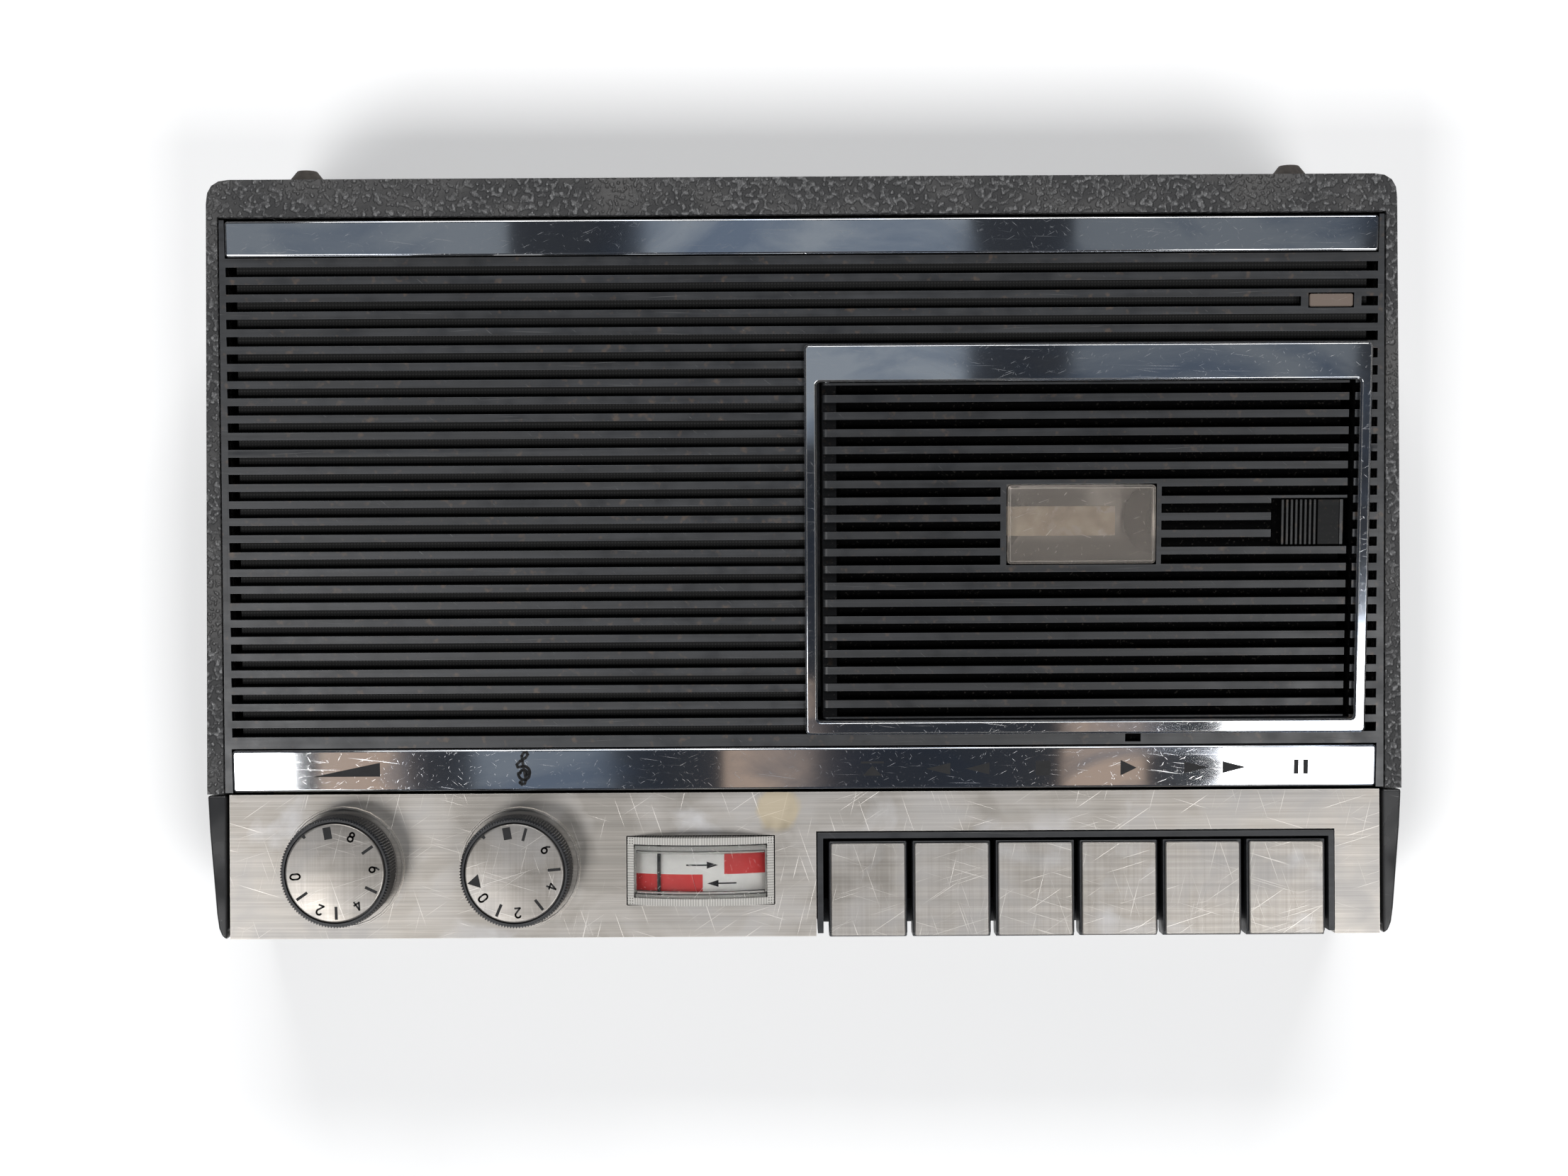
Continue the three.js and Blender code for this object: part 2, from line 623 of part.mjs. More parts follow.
// ---------------------------------------------------------------- keys
function buildBezel() {
  const x0 = NOTCH_X0 + GAP;
  const x1 = NOTCH_X1 - GAP;
  const wall = 1.4;
  const rearY = NOTCH_Y - GAP;
  const frontY = -91.6;
  const underPanel = PANEL_Z - PANEL_T - GAP;
  const top = PANEL_Z + 0.8;
  const pieces = [
    box(x0, x1, rearY - wall, rearY, 47, top),
    box(x0, x1, -90.8, -85, 34, 36.5),
  ];
  for (const [a, b] of [[x0, x0 + wall], [x1 - wall, x1]]) {
    pieces.push(box(a, b, frontY, -59.5, 34, underPanel));
    pieces.push(box(a, b, frontY, rearY, underPanel - 0.5, top));
  }
  const [first, ...rest] = pieces;
  return cut(join(first, ...rest), rodAlongX(1.6, 0, 135, KEY_PIVOT_Y, KEY_PIVOT_Z));
}

function buildKey(x) {
  const half = KEY_W / 2;
  const side = new THREE.Shape();
  side.moveTo(KEY_REAR_Y, KEY_BOTTOM);
  side.lineTo(KEY_REAR_Y, KEY_TOP);
  side.lineTo(KEY_FRONT_Y + 1.2, KEY_TOP);
  side.lineTo(KEY_FRONT_Y, KEY_TOP - 1.2);
  side.lineTo(KEY_FRONT_Y, KEY_BOTTOM + 1);
  side.lineTo(KEY_FRONT_Y + 1, KEY_BOTTOM);
  const geometry = new THREE.ExtrudeGeometry(side, { depth: KEY_W, bevelEnabled: false });
  geometry.rotateX(Math.PI / 2);
  geometry.rotateZ(Math.PI / 2);
  geometry.translate(x - half, 0, 0);
  const body = toSolid(geometry);
  const arm = box(x - 3, x + 3, KEY_REAR_Y - 1, -60.4, KEY_BOTTOM, 46.5);
  return cut(join(body, arm), rodAlongX(1.6, x - 5, x + 5, KEY_PIVOT_Y, KEY_PIVOT_Z));
}

function buildKeyPlate(x) {
  return prism(roundedRect(x - 9, x + 9, -92.2, -69.8, 0.5), KEY_TOP + GAP, KEY_TOP + 1.1, 0.25, 1);
}

const KEY_NAMES = ['eject', 'rewind', 'stop', 'start', 'forward', 'pause'];
addPart('key_bezel', buildBezel(), BLACK);
addPart('key_shaft', rodAlongX(1.3, NOTCH_X0 - 0.6, NOTCH_X1 + 0.6, KEY_PIVOT_Y, KEY_PIVOT_Z, 16), STEEL);
for (let i = 0; i < KEY_COUNT; i += 1) {
  const x = KEY_FIRST_X + i * KEY_PITCH;
  addPart(`key_${KEY_NAMES[i]}`, buildKey(x), BLACK);
  addPart(`key_plate_${KEY_NAMES[i]}`, buildKeyPlate(x), SATIN);
}

// ---------------------------------------------------------------- tape mechanism
const SUPPLY = [HUB_U - HUB_SPACING / 2, HUB_V];
const TAKEUP = [HUB_U + HUB_SPACING / 2, HUB_V];

function buildChassis() {
  const plate = box(2.1, 133.1, 13, 102, CHASSIS_TOP - 1.8, CHASSIS_TOP);
  const holes = [
    post(2.4, -30, -10, ...SUPPLY),
    post(2.4, -30, -10, ...TAKEUP),
    post(1.5, -30, -10, ...CAPSTAN, 16),
  ];
  return cut(plate, ...holes);
}

function buildSpindle([u, v]) {
  const profile = [[0, -24.5], [2, -24.5], [2, -19.9], [9, -19.9], [9, -18.4], [3.2, -18.4], [3.2, -10],
    [1.2, -8.8], [0, -8.8]];
  const core = turned(profile, u, v, 16);
  const fins = [0, 1, 2].map((i) => {
    const fin = box(2, 4.2, -0.5, 0.5, -18.6, -11.5);
    return fin.rotate([0, 0, i * 120]).translate([u, v, 0]);
  });
  return join(core, ...fins);
}

function buildFlywheel() {
  const r = FLYWHEEL_R;
  const profile = [[0, -29.8], [r, -29.8], [r, -28.4], [r - 0.8, -28.4], [r - 0.8, -26.6], [r, -26.6], [r, -25.2],
    [1, -25.2], [1, -7.5], [0, -7.5]];
  return turned(profile, ...CAPSTAN, 32);
}

function buildPulley() {
  const r = PULLEY_R;
  const profile = [[0.9, -29.4], [r + 0.8, -29.4], [r + 0.8, -28.4], [r, -28.4], [r, -26.6], [r + 0.8, -26.6],
    [r + 0.8, -25.6], [0.9, -25.6], [0.9, -29.4]];
  return turned(profile, ...MOTOR, 16);
}

function buildMotor() {
  const profile = [[0, -46], [12, -46], [12, -30], [0.6, -30], [0.6, -24.8], [0, -24.8]];
  return turned(profile, ...MOTOR, 20);
}

// Open-belt outline round two pulleys, as a list of points.
function beltOutline(r0, r1) {
  const [ax, ay] = CAPSTAN;
  const [bx, by] = MOTOR;
  const reach = Math.hypot(bx - ax, by - ay);
  const line = Math.atan2(by - ay, bx - ax);
  const spread = Math.acos((r0 - r1) / reach);
  const points = [];
  for (let i = 0; i <= 28; i += 1) {
    const angle = line + spread + (i / 28) * (2 * Math.PI - 2 * spread);
    points.push([ax + r0 * Math.cos(angle), ay + r0 * Math.sin(angle)]);
  }
  for (let i = 0; i <= 8; i += 1) {
    const angle = line - spread + (i / 8) * 2 * spread;
    points.push([bx + r1 * Math.cos(angle), by + r1 * Math.sin(angle)]);
  }
  return points;
}

function buildBelt() {
  const inner = 0.4;
  const thick = 0.9;
  const outerLoop = prism(polygon(beltOutline(FLYWHEEL_R - 0.8 + inner + thick, PULLEY_R + inner + thick)), -28, -27);
  const innerLoop = prism(polygon(beltOutline(FLYWHEEL_R - 0.8 + inner, PULLEY_R + inner)), -29, -26);
  return cut(outerLoop, innerLoop);
}

function buildHeadCarriage() {
  const plate = box(36, 103, 18.0, 28.4, -19.9, -18.7);
  const recordHead = prism(roundedRect(HUB_U - 6, HUB_U + 6, 20, 28.2, 2), -18.8, -8.5, 0, 3);
  const eraseHead = prism(roundedRect(41.6, 49.6, 20.5, 27.4, 1.5), -18.8, -9.5, 0, 3);
  const rollerPin = post(0.9, -18.8, -8.2, ...ROLLER, 16);
  return join(plate, recordHead, eraseHead, rollerPin);
}

addPart('chassis_plate', onDeck(buildChassis()), STEEL);
addPart('supply_spindle', onDeck(buildSpindle(SUPPLY)), BLACK);
addPart('takeup_spindle', onDeck(buildSpindle(TAKEUP)), BLACK);
addPart('flywheel', onDeck(buildFlywheel()), STEEL);
addPart('motor', onDeck(buildMotor()), STEEL);
addPart('motor_pulley', onDeck(buildPulley()), SPRING_METAL);
addPart('drive_belt', onDeck(buildBelt()), RUBBER);
addPart('head_carriage', onDeck(buildHeadCarriage()), STEEL);
const rollerProfile = [[1.2, -18.2], [5.5, -18.2], [5.5, -9], [1.2, -9], [1.2, -18.2]];
addPart('pinch_roller', onDeck(turned(rollerProfile, ...ROLLER, 20)), RUBBER);

// ---------------------------------------------------------------- loudspeaker and circuit board
const speakerProfile = [[0, -18], [14, -18], [14, -11.5], [20, -11], [35, -5.6], [38, -5.6], [38, -3.9], [34, -3.9],
  [15, -9.4], [9, -8.6], [0, -7.4]];
addPart('speaker', onDeck(turned(speakerProfile, -68, 86, 24)), DARK_INNER);

function buildBoard() {
  const top = 17.6;
  const pieces = [box(-136, -48, -86, -8, 16, top)];
  for (const [x, y, r, h] of [[-126, -20, 5, 16], [-112, -20, 4, 12], [-60, -24, 6, 14], [-84, -50, 4, 10],
    [-130, -44, 3.5, 9]]) {
    pieces.push(post(r, top - 0.5, top + h, x, y, 16));
  }
  for (const [x, y, a, b, h] of [[-98, -30, 12, 12, 13], [-76, -30, 10, 10, 11], [-110, -46, 16, 5, 6],
    [-60, -50, 8, 14, 5]]) {
    pieces.push(box(x - a / 2, x + a / 2, y - b / 2, y + b / 2, top - 0.5, top + h));
  }
  const [first, ...rest] = pieces;
  return join(first, ...rest);
}
addPart('circuit_board', buildBoard(), BOARD);

// Centre the finished object over its own origin.
root.updateMatrixWorld(true);
const bounds = new THREE.Box3().setFromObject(root);
root.position.set(-(bounds.min.x + bounds.max.x) / 2, -(bounds.min.y + bounds.max.y) / 2, -bounds.min.z);
root.updateMatrixWorld(true);

export default root;
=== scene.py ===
"""A portable cassette deck: finishes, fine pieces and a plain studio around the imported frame."""

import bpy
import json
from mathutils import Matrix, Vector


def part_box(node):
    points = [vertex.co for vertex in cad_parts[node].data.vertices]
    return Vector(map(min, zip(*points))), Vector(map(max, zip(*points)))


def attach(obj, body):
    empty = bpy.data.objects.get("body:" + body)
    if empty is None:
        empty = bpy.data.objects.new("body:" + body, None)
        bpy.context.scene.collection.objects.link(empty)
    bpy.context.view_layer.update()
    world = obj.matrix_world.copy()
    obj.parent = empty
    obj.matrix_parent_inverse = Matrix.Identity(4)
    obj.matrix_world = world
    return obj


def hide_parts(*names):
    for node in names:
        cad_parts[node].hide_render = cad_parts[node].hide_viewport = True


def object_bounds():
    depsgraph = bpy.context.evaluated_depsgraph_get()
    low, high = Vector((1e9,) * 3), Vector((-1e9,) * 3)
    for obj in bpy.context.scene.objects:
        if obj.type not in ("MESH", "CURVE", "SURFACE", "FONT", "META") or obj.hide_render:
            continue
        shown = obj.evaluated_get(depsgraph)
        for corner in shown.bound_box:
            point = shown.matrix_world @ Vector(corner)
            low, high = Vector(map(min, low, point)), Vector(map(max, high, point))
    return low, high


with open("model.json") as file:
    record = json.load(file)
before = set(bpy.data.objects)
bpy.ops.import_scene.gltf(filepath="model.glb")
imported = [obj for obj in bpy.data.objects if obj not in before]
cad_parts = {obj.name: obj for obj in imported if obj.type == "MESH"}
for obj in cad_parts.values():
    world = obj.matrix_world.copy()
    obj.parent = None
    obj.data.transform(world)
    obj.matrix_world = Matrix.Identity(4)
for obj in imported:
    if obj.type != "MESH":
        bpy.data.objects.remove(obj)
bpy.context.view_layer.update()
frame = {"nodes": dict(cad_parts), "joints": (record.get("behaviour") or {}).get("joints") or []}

import json
import math

import bpy
from mathutils import Vector

MM = 0.001
NODES = frame["nodes"]
JOINTS = {joint["name"]: joint for joint in frame["joints"]}
SCENE = bpy.context.scene


# ---------------------------------------------------------------- the sloped deck's own axes
# u runs right, v up the slope and w out of the deck face, in millimetres.
LID_HINGE = JOINTS["lid_hinge"]
HINGE_UVW = (5.9, 58.0, -2.2)
DECK_U = Vector((1, 0, 0))
DECK_V = -Vector(LID_HINGE["axis"]).normalized()
DECK_W = DECK_U.cross(DECK_V)


def along_deck(u, v, w):
    return (DECK_U * u + DECK_V * v + DECK_W * w) * MM


DECK_ORIGIN = Vector(LID_HINGE["pos_m"]) - along_deck(*HINGE_UVW)


def deck(u, v, w=0.0):
    """A deck point in the row frame, in metres."""
    return DECK_ORIGIN + along_deck(u, v, w)


def box_centre(node):
    low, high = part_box(node)
    return (low + high) / 2


# ---------------------------------------------------------------- camera
LENS_MM = 54.75
SENSOR_MM = 36
CAMERA_AT = (-0.004655, -0.007872, 0.630)
CAMERA_ROLL = -0.33


def make_camera():
    """Looks straight down, turned by the small roll."""
    data = bpy.data.cameras.new("camera")
    data.lens = LENS_MM
    data.sensor_width = SENSOR_MM
    data.clip_start = 0.01
    camera = bpy.data.objects.new("camera", data)
    camera.location = CAMERA_AT
    camera.rotation_euler = (0, 0, math.radians(CAMERA_ROLL))
    SCENE.collection.objects.link(camera)
    SCENE.camera = camera


make_camera()


# ---------------------------------------------------------------- material building
class Finish:
    """A material and short calls that add nodes to it."""

    def __init__(self, name, color=(0.5, 0.5, 0.5), metallic=0.0, roughness=0.5, **sockets):
        self.material = bpy.data.materials.new(name)
        self.material.use_nodes = True
        self.tree = self.material.node_tree
        self.shader = self.tree.nodes["Principled BSDF"]
        self.shader.inputs["Base Color"].default_value = (*color, 1)
        self.shader.inputs["Metallic"].default_value = metallic
        self.shader.inputs["Roughness"].default_value = roughness
        for socket, value in sockets.items():
            self.shader.inputs[socket.replace("_", " ")].default_value = value
        self.place = self.node("ShaderNodeTexCoord").outputs["Object"]
        self.height = None

    def node(self, kind, **settings):
        made = self.tree.nodes.new(kind)
        for key, value in settings.items():
            setattr(made, key, value)
        return made

    def link(self, source, target):
        if isinstance(source, (int, float, tuple)):
            target.default_value = source
        else:
            self.tree.links.new(source, target)

    def stretched(self, stretch, turn=0.0, shift=(0, 0, 0)):
        """Object coordinates in metres, turned about Z, then scaled per axis."""
        turned = self.node("ShaderNodeMapping")
        turned.inputs["Rotation"].default_value = (0, 0, turn)
        turned.inputs["Location"].default_value = shift
        self.link(self.place, turned.inputs["Vector"])
        scaled = self.node("ShaderNodeMapping")
        scaled.inputs["Scale"].default_value = stretch
        self.link(turned.outputs["Vector"], scaled.inputs["Vector"])
        return scaled.outputs["Vector"]

    def noise(self, stretch, turn=0.0, detail=3.0, shift=(0, 0, 0), distortion=0.0):
        made = self.node("ShaderNodeTexNoise")
        made.inputs["Scale"].default_value = 1.0
        made.inputs["Detail"].default_value = detail
        made.inputs["Distortion"].default_value = distortion
        self.link(self.stretched(stretch, turn, shift), made.inputs["Vector"])
        return made.outputs["Fac"]

    def cells(self, scale, feature="F1", wobble=0.0):
        """Voronoi cells, their coordinates bent by noise."""
        made = self.node("ShaderNodeTexVoronoi", feature=feature)
        made.inputs["Scale"].default_value = scale
        if wobble:
            bend = self.node("ShaderNodeTexNoise")
            bend.inputs["Scale"].default_value = scale * 0.9
            self.link(self.place, bend.inputs["Vector"])
            mixed = self.node("ShaderNodeMix", data_type="VECTOR")
            mixed.inputs["Factor"].default_value = wobble
            self.link(self.place, mixed.inputs[4])
            self.link(bend.outputs["Color"], mixed.inputs[5])
            self.link(mixed.outputs[1], made.inputs["Vector"])
        else:
            self.link(self.place, made.inputs["Vector"])
        return made.outputs["Distance"]

    def remap(self, value, low, high, out_low=0.0, out_high=1.0, clamp=True):
        made = self.node("ShaderNodeMapRange", clamp=clamp)
        self.link(value, made.inputs["Value"])
        numbers = (("From Min", low), ("From Max", high), ("To Min", out_low), ("To Max", out_high))
        for socket, number in numbers:
            made.inputs[socket].default_value = number
        return made.outputs["Result"]

    def math(self, operation, a, b=0.0):
        made = self.node("ShaderNodeMath", operation=operation)
        self.link(a, made.inputs[0])
        self.link(b, made.inputs[1])
        return made.outputs[0]

    def blend(self, factor, a, b):
        """Colour a where factor is 0 and b where it is 1."""
        made = self.node("ShaderNodeMix", data_type="RGBA")
        self.link(factor, made.inputs["Factor"])
        for value, socket in ((a, made.inputs[6]), (b, made.inputs[7])):
            self.link((*value, 1) if isinstance(value, tuple) else value, socket)
        return made.outputs[2]

    def axis(self, name):
        made = self.node("ShaderNodeSeparateXYZ")
        self.link(self.place, made.inputs[0])
        return made.outputs[name]

    def deck_depth(self, node):
        """Millimetres below the deck face, in the coordinates of a CAD node that lies in the deck."""
        made = self.node("ShaderNodeVectorMath", operation="DOT_PRODUCT")
        self.link(self.place, made.inputs[0])
        made.inputs[1].default_value = -DECK_W
        face = (NODES[node].matrix_world.translation - DECK_ORIGIN).dot(DECK_W)
        return self.remap(made.outputs["Value"], face, face + MM, clamp=False)

    def scratches(self, layers, length=42.0, width=4200.0, threshold=0.75):
        """Fine straight scratches, a layer for each direction given in degrees."""
        total = None
        for k, angle in enumerate(layers):
            shift = (0.013 * k, 0.029 * k, 0.0)
            streak = self.noise((length, width, width), math.radians(angle), 1.0, shift)
            line = self.remap(streak, threshold, threshold + 0.05)
            total = line if total is None else self.math("MAXIMUM", total, line)
        return total

    def edges(self, radius_mm, low=0.02, high=0.2):
        """1 on convex edges and corners, 0 on flats; on the chrome it carries a painted highlight."""
        rounded = self.node("ShaderNodeBevel", samples=4)
        rounded.inputs["Radius"].default_value = radius_mm * MM
        flat = self.node("ShaderNodeNewGeometry")
        dot = self.node("ShaderNodeVectorMath", operation="DOT_PRODUCT")
        self.link(rounded.outputs["Normal"], dot.inputs[0])
        self.link(flat.outputs["Normal"], dot.inputs[1])
        return self.remap(self.math("SUBTRACT", 1.0, dot.outputs["Value"]), low, high)

    def bump(self, height, distance_mm, strength=1.0):
        made = self.node("ShaderNodeBump")
        made.inputs["Strength"].default_value = strength
        made.inputs["Distance"].default_value = distance_mm * MM
        self.link(height, made.inputs["Height"])
        if self.height is not None:
            self.link(self.height, made.inputs["Normal"])
        self.height = made.outputs["Normal"]
        self.link(self.height, self.shader.inputs["Normal"])

    def color(self, value):
        self.link(value, self.shader.inputs["Base Color"])

    def rough(self, value):
        self.link(value, self.shader.inputs["Roughness"])


# ---------------------------------------------------------------- finishes
def grained_case():
    """Moulded leather grain: painted highlight on the pebbles' tops and painted shade in the gaps between
    them, with the tops also a little glossier.
    """
    f = Finish("grained_case", roughness=0.5)
    pebbles = f.cells(980, "SMOOTH_F1", wobble=0.0008)
    fine = f.noise((2600,) * 3, detail=2.0)
    tops = f.remap(pebbles, 0.5, 0.2)
    # Pebble tops lighter and gaps darker in the colour: painted highlight and painted shade of the grain's
    # relief.
    tone = f.blend(tops, (0.022, 0.022, 0.023), (0.155, 0.155, 0.157))
    faded = f.remap(f.noise((60,) * 3, detail=5.0), 0.45, 0.7)
    f.color(f.blend(faded, tone, (0.075, 0.073, 0.072)))
    f.rough(f.remap(tops, 0, 1, 0.6, 0.34))
    f.bump(f.math("ADD", tops, f.math("MULTIPLY", fine, 0.25)), 0.55)
    return f


def gloss_black():
    """Polished moulding with hairline scratches and greyed edges."""
    f = Finish("gloss_black", roughness=0.16)
    edge_mask = f.edges(0.2, 0.06, 0.3)
    lines = f.scratches((82, 97, 12))
    marks = f.math("MAXIMUM", edge_mask, f.math("MULTIPLY", lines, 0.4))
    f.color(f.blend(marks, (0.026, 0.026, 0.027), (0.12, 0.12, 0.12)))
    f.rough(f.remap(f.noise((90,) * 3), 0.3, 0.75, 0.12, 0.34))
    f.bump(lines, 0.02, 0.5)
    return f


def black_plastic(name="black_plastic", tone=(0.011, 0.012, 0.014), deck_node=None):
    """Semi-gloss moulding: edges rubbed lighter by wear, fine scratches along X; on deck parts, brown dust
    specks and painted shade on the recessed floors.
    """
    f = Finish(name, roughness=0.36)
    edge_mask = f.edges(0.22)
    lines = f.scratches((2, -3, 40))
    streaks = f.noise((30, 900, 900), detail=2.0)
    base = f.blend(f.remap(streaks, 0.35, 0.7), tone, tuple(c * 1.9 for c in tone))
    base = f.blend(f.math("MULTIPLY", edge_mask, 0.5), base, (0.09, 0.095, 0.105))
    base = f.blend(f.math("MULTIPLY", lines, 0.3), base, (0.2, 0.2, 0.2))
    smooth = f.remap(f.noise((160,) * 3), 0.3, 0.7, 0.3, 0.46)
    if deck_node:
        specks = f.remap(f.noise((420,) * 3, detail=6.0), 0.6, 0.72)
        base = f.blend(f.math("MULTIPLY", specks, 0.3), base, (0.16, 0.1, 0.06))
        # Recessed floors below the deck face are coloured near black and made matt: painted shade, with a
        # faint grit speckle.
        painted_recess_shade = f.remap(f.deck_depth(deck_node), 0.25, 1.0)
        grit_in_painted_shade = f.remap(f.noise((1500,) * 3, detail=2.0), 0.62, 0.75)
        base = f.blend(painted_recess_shade, base, f.blend(grit_in_painted_shade, (0.0015, 0.0015, 0.0016), (0.02, 0.018, 0.016)))
        smooth = f.math("MAXIMUM", smooth, painted_recess_shade)
        f.link(f.remap(painted_recess_shade, 0, 1, 0.5, 0.03), f.shader.inputs["Specular IOR Level"])
    f.color(base)
    f.rough(smooth)
    f.bump(f.math("ADD", streaks, lines), 0.012, 0.6)
    return f


def chrome():
    """Polished plating: fine scratches, faint hazy patches with painted blue-grey reflection, and painted
    warm highlights on the edges.
    """
    f = Finish("chrome", (0.62, 0.64, 0.68), 1.0, 0.09)
    lines = f.scratches((1, 8, -21, 40, 63, 118, 152), width=5200.0, threshold=0.73)
    # Blue-grey patches in the plating's colour are painted reflection; the same noise also varies the
    # roughness as haze.
    haze_and_painted_reflection = f.remap(f.noise((26, 60, 60), detail=6.0, distortion=0.9), 0.42, 0.66)
    # Warm pale colour and less metal on the edges: painted highlight of the chamfers.
    edge_mask = f.edges(0.4, 0.01, 0.12)
    tone = f.blend(haze_and_painted_reflection, (0.66, 0.67, 0.69), (0.36, 0.41, 0.5))
    tone = f.blend(f.math("MULTIPLY", lines, 0.35), tone, (0.9, 0.88, 0.86))
    f.color(f.blend(edge_mask, tone, (0.9, 0.84, 0.74)))
    dull_share = f.math("MAXIMUM", f.math("MULTIPLY", edge_mask, 0.7), f.math("MULTIPLY", lines, 0.08))
    f.link(f.math("SUBTRACT", 1.0, dull_share), f.shader.inputs["Metallic"])
    marked = f.math("MAXIMUM", f.math("MULTIPLY", lines, 0.22), f.math("MULTIPLY", edge_mask, 0.35))
    f.rough(f.math("MAXIMUM", f.remap(haze_and_painted_reflection, 0, 1, 0.04, 0.08), marked))
    f.bump(f.noise((14, 40, 40), detail=1.0), 0.03, 0.25)
    return f


def satin_metal(name="satin_metal", crossed=False, shade=1.0):
    """Brushed sheet: grain along X, hairline scratches, rubbed blotches and bright edges."""
    f = Finish(name, metallic=0.8, roughness=0.36)
    grain = f.noise((22, 2400, 2400), detail=3.0)
    coarse = f.noise((12, 700, 700), detail=2.0)
    if crossed:
        across = f.math("MULTIPLY", f.noise((1900, 30, 900)), 0.5)
        grain = f.math("ADD", f.math("MULTIPLY", grain, 0.6), across)
    blotches = f.remap(f.noise((70,) * 3, detail=7.0, distortion=0.5), 0.4, 0.66)
    rubbed = f.remap(f.noise((38,) * 3, detail=8.0, distortion=0.8, shift=(0.3, 0.1, 0)), 0.56, 0.7)
    lines = f.scratches((17, 71, 104, 146, 163), width=3200.0, threshold=0.72)

    def tinted(*color):
        return tuple(min(1.0, c * shade) for c in color)

    tone = f.blend(f.remap(grain, 0.3, 0.75), tinted(0.36, 0.33, 0.295), tinted(0.55, 0.51, 0.465))
    tone = f.blend(f.remap(coarse, 0.42, 0.68, 0, 0.5), tone, tinted(0.33, 0.31, 0.28))
    tone = f.blend(f.math("MULTIPLY", blotches, 0.45), tone, tinted(0.36, 0.36, 0.37))
    tone = f.blend(f.math("MULTIPLY", rubbed, 0.5), tone, tinted(0.66, 0.66, 0.68))
    tone = f.blend(f.math("MULTIPLY", lines, 0.65), tone, tinted(0.85, 0.81, 0.76))
    tone = f.blend(f.math("MULTIPLY", f.edges(0.3), 0.7), tone, (0.9, 0.86, 0.8))
    f.color(tone)
    f.rough(f.remap(blotches, 0, 1, 0.32, 0.48))
    f.bump(f.math("ADD", grain, lines), 0.014, 0.5)
    return f


def stained_panel():
    """The control panel's sheet, with one yellowed drop mark behind the meter."""
    f = satin_metal("satin_panel")
    meter = box_centre("meter_scale")
    mark = Vector((meter.x + 19 * MM, meter.y + 15 * MM, 0))
    away = f.node("ShaderNodeVectorMath", operation="DISTANCE")
    f.link(f.place, away.inputs[0])
    away.inputs[1].default_value = (mark.x, mark.y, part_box("control_panel")[1].z)
    ragged = f.math("ADD", away.outputs["Value"], f.math("MULTIPLY", f.noise((260,) * 3), 0.0025))
    stain = f.remap(ragged, 0.0072, 0.0058)
    sheet = f.shader.inputs["Base Color"].links[0].from_socket
    f.color(f.blend(f.math("MULTIPLY", stain, 0.55), sheet, (0.52, 0.42, 0.25)))
    return f


def steel(name="steel", color=(0.42, 0.43, 0.45), roughness=0.34):
    f = Finish(name, color, 1.0, roughness)
    grain = f.noise((60, 900, 900))
    f.color(f.blend(grain, color, tuple(min(1, c * 1.35) for c in color)))
    f.rough(f.remap(f.noise((140,) * 3), 0.3, 0.7, roughness - 0.08, roughness + 0.14))
    f.bump(grain, 0.015, 0.4)
    return f


def dull(name, color, roughness=0.8, grain_scale=900, depth=0.05):
    """Rubber, paper, matt moulding and the like."""
    f = Finish(name, color, 0.0, roughness)
    grain = f.noise((grain_scale,) * 3, detail=4.0)
    dark = tuple(c * 0.75 for c in color)
    light = tuple(min(1, c * 1.3) for c in color)
    f.color(f.blend(f.remap(grain, 0.3, 0.7), dark, light))
    f.bump(grain, depth, 0.7)
    return f


def woven(name, color):
    """Plain open cloth."""
    f = Finish(name, color, 0.0, 0.95)
    warp = f.node("ShaderNodeTexWave", bands_direction="X")
    weft = f.node("ShaderNodeTexWave", bands_direction="Y")
    for wave in (warp, weft):
        wave.inputs["Scale"].default_value = 420
        f.link(f.place, wave.inputs["Vector"])
    threads = f.math("MULTIPLY", warp.outputs["Fac"], weft.outputs["Fac"])
    f.color(f.blend(threads, tuple(c * 0.5 for c in color), tuple(c * 2.2 for c in color)))
    f.bump(threads, 0.15)
    return f


def clear_cover(name, color, roughness=0.05, transmission=1.0, edge=0.0):
    """Clear moulding with hairlines; edge is how milky wear makes its edges."""
    f = Finish(name, color, 0.0, roughness, Transmission_Weight=transmission, IOR=1.49)
    lines = f.scratches((20, 75, 130, 160))
    clean = f.remap(f.noise((70,) * 3), 0.4, 0.8, roughness, roughness + 0.12)
    f.rough(f.math("MAXIMUM", clean, f.math("MULTIPLY", lines, 0.4)))
    if edge:
        edge_mask = f.math("MULTIPLY", f.edges(0.4), edge)
        f.color(f.blend(edge_mask, color, (0.9, 0.84, 0.76)))
        f.link(f.math("MULTIPLY", f.math("SUBTRACT", 1.0, edge_mask), transmission),
               f.shader.inputs["Transmission Weight"])
    f.bump(lines, 0.015, 0.5)
    return f


